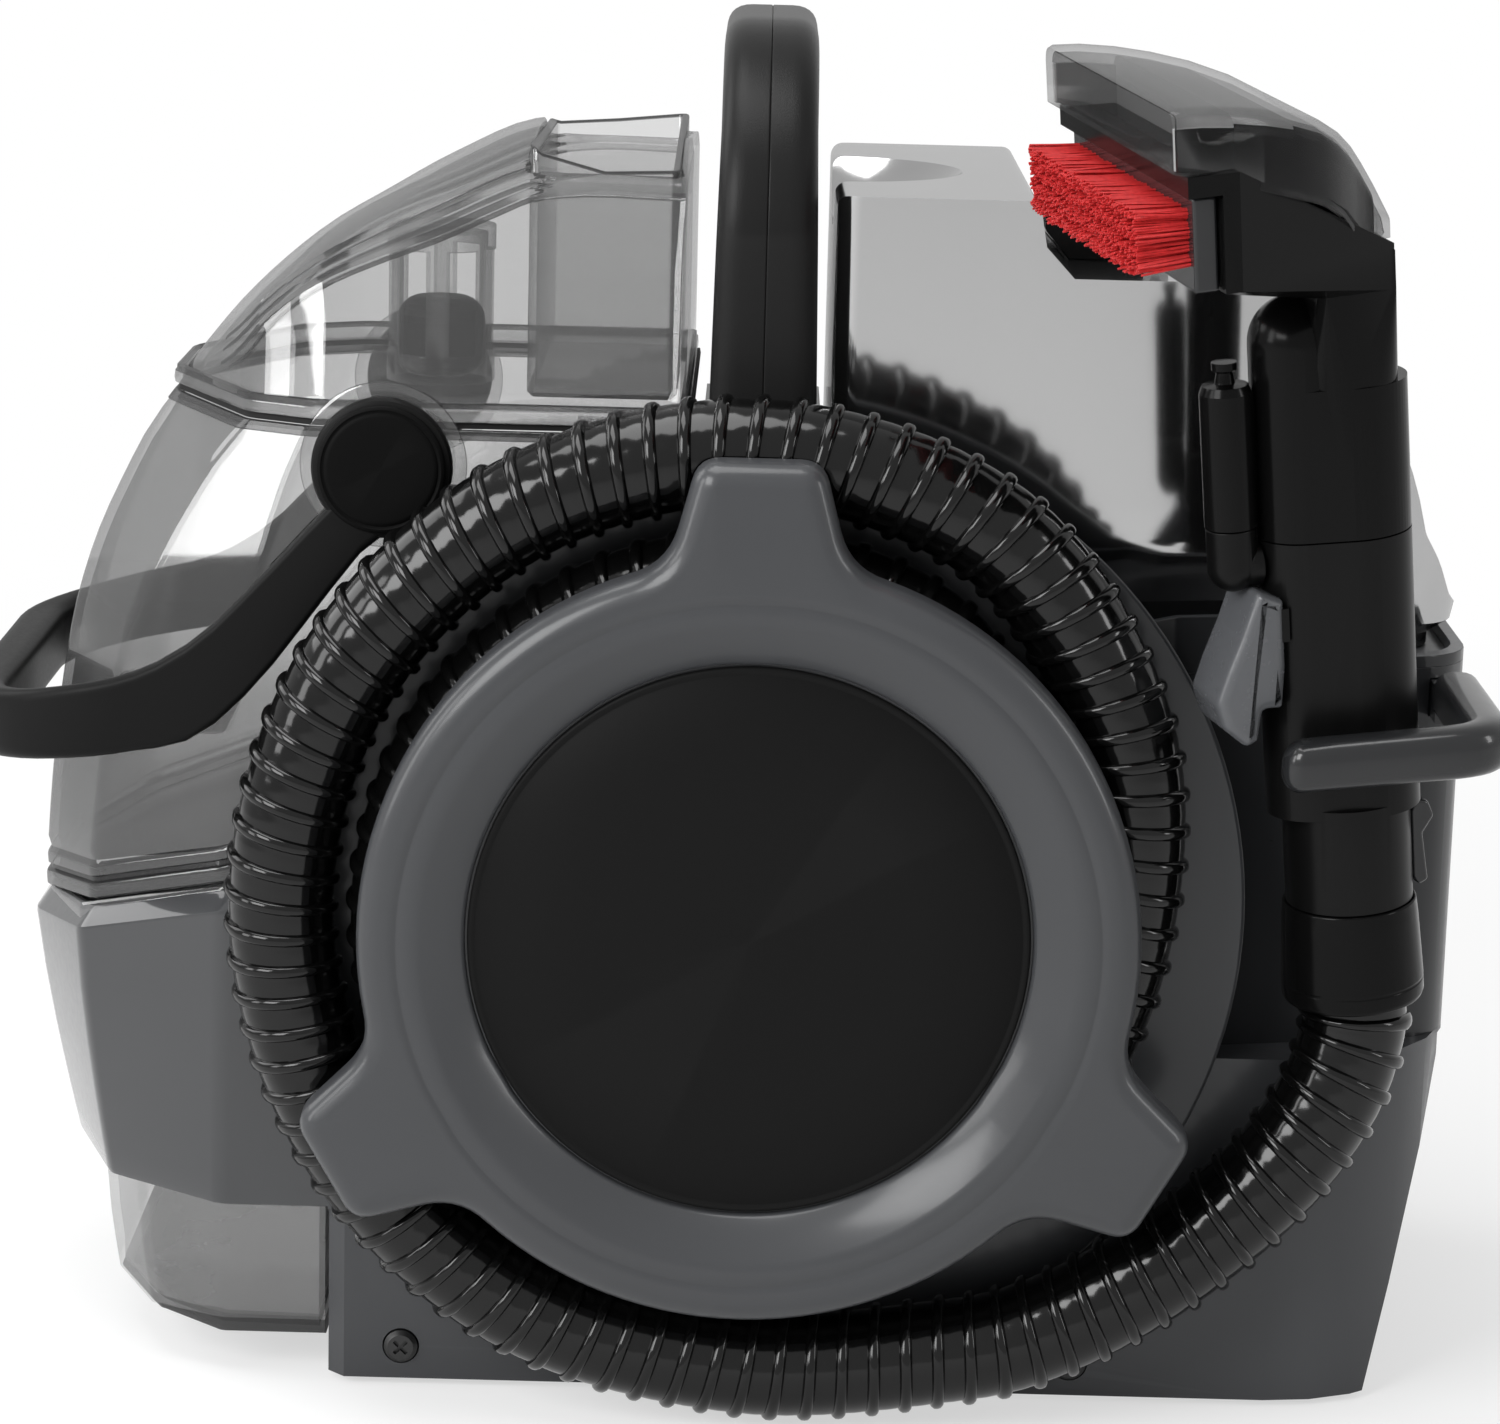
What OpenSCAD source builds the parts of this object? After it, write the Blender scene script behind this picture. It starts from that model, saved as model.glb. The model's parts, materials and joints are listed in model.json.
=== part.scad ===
// Portable spot extractor: two lift-off tanks on a motor base, hose wound on a side hub, wand in a clip.
// Frame: origin under the middle, +X towards the wand end, +Y away from the hose side, +Z up, millimetres.

/* [Base] */
// hose side wall of the base
near_y = -51; // [-60:1:-45]
// far wall of the base
far_y = 104; // [90:1:110]
// front wall of the base
base_x0 = -93; // [-100:1:-85]
// wand end of the base
base_x1 = 187; // [175:1:190]
// underside of the base
base_z0 = 2; // [1.5:0.5:6]
// ledge where the wand side steps back
ledge_z = 91; // [80:1:100]
// deck under the recovery tank
deck_a = 128; // [120:1:135]
// deck under the clean tank
deck_b = 186; // [180:1:190]
// top of the rim round the clean tank
rim_z = 200; // [194:1:204]
// top of the tower between the tanks
tower_z = 236; // [225:1:240]
// moulded wall
wall = 3; // [2:0.5:4]

/* [Hose hub] */
// hub axis along X
hub_x = 10; // [5:1:15]
// hub axis height
hub_z = 127; // [125:1:130]
// radius of the back flange
flange_r = 121; // [115:1:122]
// radius of the ring cover
ring_r = 93; // [90:1:98]
// reach of the three lobes
lobe_r = 116; // [110:1:118]
// radius of the dark disc
disc_r = 67; // [60:1:70]
// front of the ring cover
ring_y = -94; // [-98:1:-92]
// hose radius over the ribs
hose_r = 14; // [13:0.25:14.25]
// hose radius between the ribs
hose_valley = 12.5; // [12:0.25:13.5]
// hose bore radius
hose_bore = 11; // [9:0.25:11.5]
// ribs on the hose
ribs = 150; // [100:1:190]

/* [Tanks] */
// near wall of the recovery tank
tank_y0 = -46; // [-48:1:-40]
// far wall of the recovery tank
tank_y1 = 99; // [90:1:100]
// back wall of the recovery tank
tank_x1 = -8.5; // [-12:0.5:-8]
// seam between bucket and lid
seam_z = 242; // [236:1:246]
// bottom of the sump
sump_z = 10; // [6:1:14]
// wall of the clear tanks
clear_t = 2.5; // [2:0.25:3]
// bail pivot along X
pivot_x = -81; // [-85:1:-75]
// bail pivot height
pivot_z = 233; // [228:1:236]
// top of the clean tank
clean_top = 300; // [290:1:305]
// floor of the notch in the clean tank
notch_z = 281.5; // [276:0.5:286]

/* [Handle] */
// top of the carry handle
handle_z = 339; // [330:1:350]
// width of the carry handle
handle_w = 26; // [22:1:30]

/* [Wand] */
// lean of the stowed wand
lean = 5.65; // [0:0.05:8]
// lean of the stowed wand towards the hose side
lean_y = 5; // [0:0.5:8]
// turn of the stowed tool
turn = 15; // [0:1:20]
// bottom of the cuff
wand_x = 156.8; // [150:0.1:160]
// depth of the wand axis
wand_y = -64; // [-70:1:-60]
// height of the cuff bottom
wand_z = 113.5; // [105:0.5:120]
// seam between wand and tool
seam_s = 116; // [110:1:120]
// half width of the tool
tool_w = 44; // [36:1:46]
// cant of the tool head on its neck
cant = 2; // [0:0.5:6]

/* [Hidden] */
$fn = 48;
shift_y = 13.95;
mid_y = (near_y + far_y) / 2;
hose_y = -68.5;
fan_x = 70;
fan_y = 26;
valve_x = 110;
valve_y = 40;
port = [10, 182];
column_z = 150;
feet = [[-78, -36], [128, -32], [-78, 88], [128, 84]];
cap_x = 106;
tube_s = seam_s + 4;
cap_z = 285.5;
// bow of the recovery tank: height and front line, then the corner facets by angle, reach and share
bow = [[139, -171], [171, -167], [194, -161.5], [207, -157], [220, -151.5], [233, -144.5], [seam_z, -138]];
facets = [[27, 162, 0.94], [61, 121.5, 0.32]];
// ridge line of its lid: front line and height
crown = [[-136.5, seam_z + 2], [-133, 251], [-122, 264], [-104.5, 280], [-87, 291], [-70, 301], [-48, 310],
  [-38, 307.5]];
// hose route: the lead from the cuff in X Y Z, then angle and radius round the hub
lead = [[154.4, -66.1, 137.3], [156.8, -64, 113.5], [157.6, -63.5, 104], [153, -65, 88],
  [142, -66, 70], [127, -66.5, 54], [108, -67.5, 39], [86, -68, 26.5]];
wound = [[-64, 119.3], [-90, 111.6], [-120, 111.3], [-150, 112], [-180, 113], [-210, 114],
  [-240, 115], [-270, 115], [-300, 112], [-330, 101], [-360, 89.5], [-390, 84.5], [-420, 82.5], [-450, 82],
  [-480, 82], [-510, 82.5], [-540, 83.5], [-570, 84], [-600, 84], [-630, 84], [-660, 82], [-690, 70],
  [-720, 59], [-750, 55], [-780, 53], [-810, 52.5], [-840, 52], [-870, 50], [-900, 45.5], [-921, 40.5]];
tail = [[-9, hose_y, 163], [0.5, hose_y, 172.5]];
knots = concat(lead, [for (w = wound)
  [hub_x + w[1] * cos(w[0]), hose_y, hub_z + w[1] * sin(w[0])]], tail);
function knot(i) = i < 0 ? 2 * knots[0] - knots[1] :
  i >= len(knots) ? 2 * knots[len(knots) - 1] - knots[len(knots) - 2] : knots[i];
function bend(a, b, c, d, t) = 0.5 * (2 * b + (c - a) * t + (2 * a - 5 * b + 4 * c - d) * t * t
  + (3 * b - a - 3 * c + d) * t * t * t);
fine = [for (i = [0:len(knots) - 2], k = [0:9]) bend(knot(i - 1), knot(i), knot(i + 1), knot(i + 2), k / 10)];
line = concat(fine, [knots[len(knots) - 1]]);
along = [for (i = 0, s = 0; i < len(line); s = s + (i < len(line) - 1 ? norm(line[i + 1] - line[i]) : 0),
  i = i + 1) s];
hose_len = along[len(along) - 1];
walk = [for (k = [0:2]) [for (i = [0:len(line) - 1]) [along[i], line[i][k]]]];
function at(s) = [lookup(s, walk[0]), lookup(s, walk[1]), lookup(s, walk[2])];
function unit(v) = v / norm(v);
function heading(s) = unit(at(min(s + 1, hose_len)) - at(max(s - 1, 0)));
function hoop(s, r) = let (t = heading(s), b = unit(cross(t, [0, 1, 0])), n = cross(b, t), c = at(s))
  [for (a = [0:45:315]) c + r * (cos(a) * b + sin(a) * n)];
function gap_at(a, b) = norm(at(a) - at(b)) - 2 * hose_r;
step = hose_len / 300;
hose_gap = min([for (i = [0:300], j = [i + 16:300]) if (j > i + 15) gap_at(i * step, j * step)]);

// rounded polygon: each corner is [x, y, radius]
function flat(p) = [p[0], p[1]];
function spin(u, w) = [u[0] * cos(w) - u[1] * sin(w), u[0] * sin(w) + u[1] * cos(w)];
function corner(p, q, n) = let (a = unit(flat(p) - flat(q)), b = unit(flat(n) - flat(q)),
  half = acos(max(-1, min(1, a * b))) / 2,
  c = flat(q) + unit(a + b) * q[2] / sin(half),
  u = flat(q) + a * q[2] / tan(half) - c,
  way = cross(a, b) > 0 ? -1 : 1)
  [for (k = [0:6]) c + spin(u, way * (180 - 2 * half) * k / 6)];
function soft(p) = [for (i = [0:len(p) - 1]) each (p[i][2] > 0 ?
  corner(p[(i + len(p) - 1) % len(p)], p[i], p[(i + 1) % len(p)]) : [[p[i][0], p[i][1]]])];
module plan(p, z0, z1) { translate([0, 0, z0]) linear_extrude(z1 - z0) polygon(soft(p)); }
module side(p, y0, y1) { translate([0, y1, 0]) rotate([90, 0, 0]) linear_extrude(y1 - y0) polygon(soft(p)); }
module cross_section(p, x0, x1) {
  translate([x0, 0, 0]) rotate([90, 0, 90]) linear_extrude(x1 - x0) polygon(soft(p));
}
module box(a, b) { translate(a) cube(b - a); }
module along_y(x, z, r, y0, y1) { translate([x, y1, z]) rotate([90, 0, 0]) cylinder(r = r, h = y1 - y0); }
module along_x(y, z, r, x0, x1) { translate([x0, y, z]) rotate([0, 90, 0]) cylinder(r = r, h = x1 - x0); }
module on_hub() { translate([hub_x, 0, hub_z]) rotate([90, 0, 0]) children(); }
module in_wand() {
  translate([wand_x, wand_y, wand_z]) rotate([lean_y, 0, 0]) rotate([0, -lean, 0])
    rotate([0, 0, turn]) children();
}
module in_head() {
  in_wand() translate([0, 0, 198]) rotate([cant, 0, 0]) translate([0, 0, -195]) children();
}
module set_down() { translate([0, shift_y, 0]) children(); }
module rod(a, b, r) {
  v = b - a;
  translate(a) rotate([0, acos(v[2] / norm(v)), atan2(v[1], v[0])]) cylinder(r = r, h = norm(v), $fn = 24);
}
module tube(p, r, bore) {
  n = len(p) - 1;
  a = p[0] + unit(p[0] - p[1]);
  b = p[n] + unit(p[n] - p[n - 1]);
  difference() {
    pipe(p, r, 1.06);
    pipe([for (i = [0:n]) i == 0 ? a : i == n ? b : p[i]], bore, 1.06);
  }
}
module pipe(p, r, swell = 1) {
  for (i = [0:len(p) - 2]) rod(p[i], p[i + 1], r);
  for (i = [1:len(p) - 2]) translate(p[i]) sphere(swell * r, $fn = 24);
}

// forms shared by several pieces, each inset by d
function low_plan(d) = [[base_x0 + d, near_y + d, 0], [base_x1 - d, near_y + d, 45 - d],
  [base_x1 - d, far_y - d, 45 - d], [base_x0 + d, far_y - d, 0]];
function high_plan(d) = [[base_x0 + d, near_y + d, 0], [104, near_y + d, 4], [112, near_y + 8 + d, 4],
  [base_x1 - d, near_y + 25 + d, 18], [base_x1 - d, far_y - d, 45 - d], [base_x0 + d, far_y - d, 0]];
module base_form(d) {
  intersection() {
    union() {
      plan(low_plan(d), 0, ledge_z - d);
      plan(high_plan(d), ledge_z - d - 1, 300);
    }
    side([[base_x0 + d, d > 0 ? 0 : base_z0, 0], [base_x1 - 19 - d, d > 0 ? 0 : base_z0, 0],
      [base_x1 - d, ledge_z, 0], [base_x1 - d, deck_b - d, 0], [25 - d, deck_b - d, 0],
      [25 - d, rim_z - d, 0], [-5 + d, rim_z - d, 0], [-5 + d, deck_a - d, 0], [base_x0 + d, deck_a - d, 0]],
      -200, 200);
  }
}
function nose(d) = [[base_x0 - 0.05, near_y + d, 0], [-120, near_y + d, 14], [-158 + d, near_y + 22 + d, 14],
  [-175 + d, mid_y - 18, 25], [-175 + d, mid_y + 18, 25], [-158 + d, far_y - 22 - d, 14],
  [-120, far_y - d, 14], [base_x0 - 0.05, far_y - d, 0]];
function tank_plan(d) = [[tank_x1 - d, tank_y0 + d, 0], [-118, tank_y0 + d, 14],
  [-154 + d, tank_y0 + 20 + d, 14], [-172 + d, mid_y - 17, 25], [-172 + d, mid_y + 17, 25],
  [-154 + d, tank_y1 - 20 - d, 14], [-118, tank_y1 - d, 14], [tank_x1 - d, tank_y1 - d, 0]];
module bow_cuts(line, d) {
  intersection_for (f = [for (g = facets, way = [-1, 1]) [g[0] * way, g[1], g[2]]])
    translate([0, mid_y, 0]) rotate([0, 0, f[0]]) side(concat([[400, -40, 0], [d - f[1], -40, 0]],
      [for (q = line) [d - f[1] + f[2] * (171 + q[1]), q[0], 0]], [[400, line[len(line) - 1][0], 0]]), -300, 300);
}
module bucket_form(d) {
  top = d > 0 ? seam_z + 5 : seam_z;
  intersection() {
    plan(tank_plan(d), sump_z - 1, seam_z + 10);
    bow_cuts(concat(bow, [[seam_z + 12, -138]]), d);
    side(concat([[tank_x1 - d, deck_a + 0.4 + d, 0], [-96.5 - d, deck_a + 0.4 + d, 0], [-96.5 - d, sump_z + d, 4],
      [-152 + d, sump_z + d, 6], [-155 + d, 46, 0], [-167.5 + d, 106, 0], [-171 + d, 112, 0]],
      [for (q = bow) [q[1] + d, q[0], 0]], [[-138 + d, top, 0], [tank_x1 - d, top, 0]]), -200, 200);
  }
}
module crown_side(d, b) {
  side(concat([[-136.5 + 0.6 * d, b, 0]], [for (q = crown) [q[0] + 0.6 * d, q[1] - 0.9 * d, 0]],
    [[tank_x1 - d, 307 - 0.9 * d, 0], [tank_x1 - d, b, 0]]), -200, 200);
}
module lid_form(d) {
  b = seam_z + 1.9 - d * 4;
  intersection() {
    plan(tank_plan(d), b, 320);
    crown_side(d, b);
    intersection_for (way = [-1, 1]) translate([0, mid_y + 30 * way, 300]) rotate([-17 * way, 0, 0])
      translate([0, 0, -300]) crown_side(d, 100);
    bow_cuts(concat([[seam_z - 20, -138]], [for (q = crown) [q[1], q[0]]], [[340, -20]]), d);
    cross_section([[tank_y0 + d, b, 0], [tank_y0 + d, 246, 0], [tank_y0 + 13 + d, 311, 0],
      [tank_y1 - 13 - d, 311, 0], [tank_y1 - d, 246, 0], [tank_y1 - d, b, 0]], -200, 0);
  }
}
function clean_plan(d) = [[26.5 + d, -42 + d, 6], [62, -42 + d, 10], [180 - d, -15 + d, 14],
  [180 - d, 86 - d, 24], [150, 97 - d, 10], [26.5 + d, 97 - d, 6]];
module clean_form(d) {
  intersection() {
    plan(clean_plan(d), 150, 320);
    side([[26.5 + d, deck_b + 0.5 + d, 0], [180 - d, deck_b + 0.5 + d, 0], [180 - d, 197, 0],
      [165 - d, 217, 10], [157 - d, 242, 0], [150 - d, notch_z - d, 6], [84 - d, notch_z - d, 0],
      [77 - d, 289, 0],
      [75 - d, clean_top - d, 3], [26.5 + d, clean_top - d, 3]], -200, 200);
  }
}

// base
module base_holes() {
  along_y(port[0], port[1], 13.2, near_y - 1, near_y + 5);
  along_x(fan_y, port[1], 12.2, -6, 0);
  along_x(60, 222, 9.2, -6, 0);
  translate([valve_x, valve_y, 180]) cylinder(r = 12, h = 10);
  box([176.7, -45, 173.7], [183.3, -12, 183.3]);
  box([48.8, far_y - 5, 143.8], [71.2, far_y + 1, 156.2]);
  along_y(130, 40, 6.1, far_y - 5, far_y + 1);
  box([-60.2, far_y - 5, 39.8], [0.2, far_y + 1, 80.2]);
  for (x = [-50, 150]) along_y(x, x < 0 ? 110 : 95, 3.6, far_y - 5, far_y + 1);
  for (x = [-74.5, 93]) along_y(x, 10.5, 4.6, near_y - 1, near_y + 5);
}
module base_shell(a, b) {
  difference() {
    intersection() {
      base_form(0);
      box(a, b);
    }
    base_form(wall);
    base_holes();
  }
}
module base_housing() {
  color([0.29, 0.29, 0.31]) difference() {
    base_shell([-200, -200, 0], [200, 200, ledge_z]);
    for (y = [near_y, far_y]) translate([base_x0, y, 0]) rotate([0, 0, 45]) box([-3, -3, -1], [3, 3, 45.9]);
  }
}
module base_deck() { color([0.29, 0.29, 0.31]) base_shell([-200, -200, ledge_z], [-5, 200, deck_a]); }
module base_shoulder() {
  color([0.29, 0.29, 0.31]) difference() {
    base_shell([-5, -200, ledge_z], [200, 200, deck_b]);
    box([-10, -200, column_z], [25, 200, 300]);
  }
}
module base_upper() {
  color([0.29, 0.29, 0.31]) {
    difference() {
      union() {
        base_shell([-5, -200, column_z], [25, 200, 300]);
        box([-5, -29, rim_z - 1], [25, 82, tower_z]);
      }
      box([-2, -26, rim_z - 6], [22, 79, tower_z - wall]);
      along_x(60, 222, 9.2, -6, 0);
    }
    difference() {
      plan(high_plan(0), deck_b, rim_z);
      plan(high_plan(wall), deck_b - 2, rim_z + 1);
      box([-200, -200, 0], [28, 200, 300]);
    }
  }
}
module base_plate() {
  color([0.2, 0.2, 0.21]) difference() {
    intersection() {
      plan(low_plan(wall + 0.2), base_z0, base_z0 + 3);
      box([-200, -200, 0], [164.8, 200, 20]);
    }
    for (p = feet) translate([p[0], p[1], 0]) cylinder(r = 3.1, h = 20);
    for (y = [-20:12:70]) box([-60, y, 0], [-10, y + 5, 20]);
  }
}
module rubber_feet() {
  color([0.12, 0.12, 0.12]) for (p = feet) translate(p) {
    rotate_extrude() polygon([[0, 0], [8, 0], [9, 1.2], [8.6, base_z0 - 0.1], [0, base_z0 - 0.1]]);
    cylinder(r = 3, h = base_z0 + 3);
  }
}
module screw(x) {
  color([0.1, 0.1, 0.1]) difference() {
    translate([x, near_y + 1, 10.5]) rotate([90, 0, 0]) rotate_extrude()
      polygon([[0, -8], [1.6, -8], [1.6, 0], [4.2, 0], [4.2, 1.4], [3.2, 2.4], [0, 2.6]]);
    for (a = [45, 135]) translate([x, near_y - 1.2, 10.5]) rotate([0, a, 0])
      cube([4.4, 1.6, 0.9], center = true);
  }
}
module screws() {
  screw(-74.5);
  screw(93);
  color([0.5, 0.5, 0.5]) on_hub() translate([0, 0, 58]) cylinder(r = 4.6, h = 26.6);
}
module collar_form(d) {
  intersection() {
    plan(nose(d), 46 - d, 127 + d);
    side([[base_x0, 46 - d, 0], [-158.5 + d, 46 - d, 0], [-175 + d, 108, 0], [-175 + d, 127 + d, 0],
      [base_x0, 127 + d, 0]], -200, 200);
  }
}
module collar() {
  color([0.29, 0.29, 0.31]) difference() {
    collar_form(0);
    collar_form(wall);
    translate([-117, 0, 126.5]) rotate([0, -16.5, 0]) box([-90, -200, 0], [0, 200, 40]);
  }
}
module handle_form(x0, x1) {
  difference() {
    cross_section([[near_y + 1, rim_z + 0.2, 0], [near_y + 1, handle_z, 52], [far_y - 1, handle_z, 52],
      [far_y - 1, rim_z + 0.2, 0]], x0, x1);
    cross_section([[-29.5, rim_z - 1, 0], [-29.5, handle_z - 27, 26], [82.5, handle_z - 27, 26],
      [82.5, rim_z - 1, 0]], x0 - 1, x1 + 1);
  }
}
module handle_left() { color([0.13, 0.13, 0.13]) handle_form(hub_x - handle_w / 2, hub_x - 0.1); }
module handle_right() { color([0.13, 0.13, 0.13]) handle_form(hub_x + 0.1, hub_x + handle_w / 2); }

// hose hub
module hose_flange() {
  color([0.27, 0.27, 0.29]) difference() {
    on_hub() translate([0, 0, -near_y + 0.1]) cylinder(r = flange_r, h = 3, $fn = 96);
    along_y(port[0], port[1], 13.2, near_y - 5, near_y + 1);
    on_hub() cylinder(r = 6, h = 80);
  }
}
module hose_hub() {
  color([0.2, 0.2, 0.21]) on_hub() rotate_extrude()
    polygon([[8, 54.2], [22, 54.2], [22, 57], [20, 59], [20, 83], [5.2, 83], [5.2, 79], [8, 79]]);
}
module ring_cover() {
  f = -ring_y;
  color([0.29, 0.29, 0.31]) on_hub() {
    rotate_extrude($fn = 96) polygon([[5, 83.1], [ring_r - 1.5, 83.1], [ring_r, 84.5], [ring_r, f - 3.5],
      [ring_r - 1, f - 1.2], [ring_r - 3.5, f], [82.8, f], [82.3, f - 0.5], [81.8, f], [76.5, f],
      [disc_r + 0.6, 86.8], [disc_r + 0.4, 84.7], [5, 84.7]]);
    for (a = [90, 210, 330]) rotate([0, 0, a]) difference() {
      union() {
        translate([0, 0, 83.1]) linear_extrude(8.6)
          polygon(soft([[85, -22.8, 0], [lobe_r, -14.6, 5], [lobe_r, 14.6, 5], [85, 22.8, 0]]));
        translate([0, 0, 91.6]) linear_extrude(2.4)
          polygon(soft([[85, -21, 0], [lobe_r - 1.6, -13.2, 4], [lobe_r - 1.6, 13.2, 4], [85, 21, 0]]));
      }
      cylinder(r = 88, h = 100);
    }
  }
}
module ring_disc() {
  color([0.1, 0.1, 0.1]) on_hub() translate([0, 0, 84.8]) cylinder(r = disc_r, h = 1.8, $fn = 96);
}
module hose_port() {
  color([0.13, 0.13, 0.13]) difference() {
    along_y(port[0], port[1], 13, -81, near_y + 4);
    along_y(port[0], port[1], 10.5, -78.5, near_y + 5);
    rod([port[0], hose_y, port[1]], [port[0] - 15, hose_y, port[1] - 15], 9);
  }
}
module hose() {
  n = 2 * ribs;
  m = 60;
  skin = [for (i = [0:n]) each hoop(hose_len * i / n, i % 2 == 0 ? hose_valley : hose_r)];
  core = [for (i = [0:m]) each hoop(hose_len * i / m, hose_bore)];
  k = len(skin);
  color([0.08, 0.08, 0.08]) polyhedron(concat(skin, core), concat(
    [for (i = [0:n - 1], j = [0:7]) each let (a = 8 * i + j, b = 8 * i + (j + 1) % 8)
      [[a, b, b + 8], [a, b + 8, a + 8]]],
    [for (i = [0:m - 1], j = [0:7]) each let (a = k + 8 * i + j, b = k + 8 * i + (j + 1) % 8)
      [[a, b + 8, b], [a, a + 8, b + 8]]],
    [for (j = [0:7]) each let (h = (j + 1) % 8) [[j, k + j, k + h], [j, k + h, h]]],
    [for (j = [0:7]) each let (h = (j + 1) % 8, a = 8 * n, c = k + 8 * m)
      [[a + j, c + h, c + j], [a + j, a + h, c + h]]]), convexity = 20);
}

// inside the base
module motor_can() {
  color([0.6, 0.6, 0.62]) translate([fan_x, fan_y, 0]) difference() {
    rotate_extrude() polygon([[11.2, 66], [42, 66], [44, 68], [44, 132], [36, 142], [11.2, 142], [11.2, 138],
      [34, 138], [41, 130], [41, 69], [11.2, 69]]);
    for (a = [0:30:330]) rotate([0, 0, a]) translate([38, -2, 80]) cube([12, 4, 36]);
  }
}
module motor_rotor() {
  color([0.7, 0.45, 0.25]) translate([fan_x, fan_y, 0]) {
    translate([0, 0, 19]) cylinder(r = 4, h = 125);
    translate([0, 0, 78]) cylinder(r = 24, h = 40);
    translate([0, 0, 122]) cylinder(r = 12, h = 12);
  }
}
module bearing(z) {
  color([0.75, 0.75, 0.78]) translate([fan_x, fan_y, z])
    rotate_extrude() polygon([[4.05, 0], [11.1, 0], [11.1, 6], [4.05, 6]]);
}
module bearings() {
  bearing(62.8);
  bearing(137);
}
module fan_housing() {
  color([0.16, 0.16, 0.17]) translate([fan_x, fan_y, 0]) difference() {
    rotate_extrude() polygon([[20, 12], [58, 12], [60, 14], [60, 60], [58, 62.6], [11.2, 62.6], [11.2, 58],
      [57, 58], [57, 15], [20, 15]]);
    translate([-48, 22, 40]) cylinder(r = 6.2, h = 40);
    rotate([0, 0, 100]) translate([40, -12, 24]) cube([40, 24, 24]);
  }
}
module impeller() {
  color([0.8, 0.8, 0.82]) translate([fan_x, fan_y, 0]) {
    rotate_extrude() polygon([[4.05, 24], [52, 24], [52, 26], [9, 26], [9, 44], [4.05, 44]]);
    translate([0, 0, 38]) rotate_extrude() polygon([[24, 0], [52, 0], [52, 2], [24, 2]]);
    for (a = [0:45:315]) rotate([0, 0, a]) translate([8.5, 0, 25.5]) rotate([0, 0, 14]) cube([41, 2, 13]);
  }
}
module motor_mount() {
  color([0.12, 0.12, 0.12]) translate([fan_x, fan_y, 0]) difference() {
    rotate_extrude() polygon([[44.3, 64], [52, 64], [52, 74], [44.3, 74]]);
    translate([-48, 22, 60]) cylinder(r = 8, h = 20);
  }
}
module pump_body() {
  color([0.35, 0.35, 0.37]) {
    translate([147, 66, 24]) cylinder(r = 13, h = 50);
    translate([147, 66, 74]) cylinder(r = 7, h = 14);
    translate([147, 66, base_z0 + 3.2]) cylinder(r = 16, h = 21 - base_z0);
    box([133, 62, 40], [147, 70, 60]);
  }
}
module pump_tubes() {
  color([0.8, 0.8, 0.8]) tube([[valve_x, valve_y, 165], [valve_x, valve_y, 152], [147, 66, 140],
    [147, 66, 88.2]], 3.5, 2);
  color([0.8, 0.8, 0.8]) tube([[132.7, 66, 50], [126, 66, 50], [126, 94, 50], [1.5, 94, 50], [1.5, 94, 158],
    [1.5, -30, 158], [1.5, -30, 171.8]], 3, 1.8);
}
module valve_seat() {
  color([0.16, 0.16, 0.17]) translate([valve_x, valve_y, 0]) {
    rotate_extrude() polygon([[0, 165.2], [11.8, 165.2], [11.8, 181], [16, 181], [16, 182.9],
      [11.8, 182.9], [11.8, 185.8], [9.4, 185.8], [9.4, 168], [0, 168]]);
    translate([0, 0, 167.5]) cylinder(r = 1.5, h = 8);
  }
}
module suction_duct() {
  color([0.16, 0.16, 0.17]) difference() {
    union() {
      along_y(port[0], port[1], 11, near_y + 4.2, fan_y);
      along_x(fan_y, port[1], 11, -4.8, port[0]);
      translate([port[0], fan_y, port[1]]) sphere(11);
    }
    along_y(port[0], port[1], 9, near_y, fan_y);
    along_x(fan_y, port[1], 9, -6, port[0]);
    translate([port[0], fan_y, port[1]]) sphere(9);
  }
}
module inlet_gasket() {
  color([0.1, 0.1, 0.1]) difference() {
    along_x(fan_y, port[1], 13.5, -7.9, -5.1);
    along_x(fan_y, port[1], 9.5, -9, -4);
  }
}
module vacuum_duct() {
  color([0.16, 0.16, 0.17]) tube([[-7.8, 60, 222], [14, 60, 222], [14, 60, 150], [22, 48, 110],
    [22, 48, 62.8]], 7, 5);
}
module power_switch() {
  color([0.1, 0.1, 0.1]) intersection() {
    along_x(far_y - 6, 150, 8.4, 50, 70);
    box([49, far_y - 20, 145], [71, far_y + 10, 155]);
  }
}
module cord_gland() {
  color([0.1, 0.1, 0.1]) translate([130, far_y, 40]) rotate([-90, 0, 0]) difference() {
    rotate_extrude()
      polygon([[0, -4.5], [5.9, -4.5], [5.9, 0.1], [8.5, 0.1], [8.5, 3], [5.4, 7.6], [0, 7.6]]);
    translate([0, 0, -6]) cylinder(r = 3.2, h = 20);
  }
}
module exhaust_grille() {
  color([0.16, 0.16, 0.17]) difference() {
    union() {
      box([-60, far_y - 3, 40], [0, far_y, 80]);
      box([-64, far_y + 0.1, 36], [4, far_y + 2, 84]);
      box([-60, far_y - 0.5, 40], [0, far_y + 0.5, 80]);
    }
    for (z = [44:6:74]) box([-56, far_y - 10, z], [-4, far_y + 10, z + 3]);
  }
}
module cord_hook(x, z, s) {
  color([0.29, 0.29, 0.31]) {
    along_y(x, z, 3.5, far_y - 4.5, far_y + 1);
    along_y(x, z, 9, far_y + 0.3, far_y + 5);
    side([[x - 8, z, 0], [x - 6, z + s * 26, 3], [x + 6, z + s * 26, 3], [x + 8, z, 0]],
      far_y + 5, far_y + 8);
  }
}
module hook_fixed() { cord_hook(150, 95, -1); }
module hook_swivel() { cord_hook(-50, 110, 1); }

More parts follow.
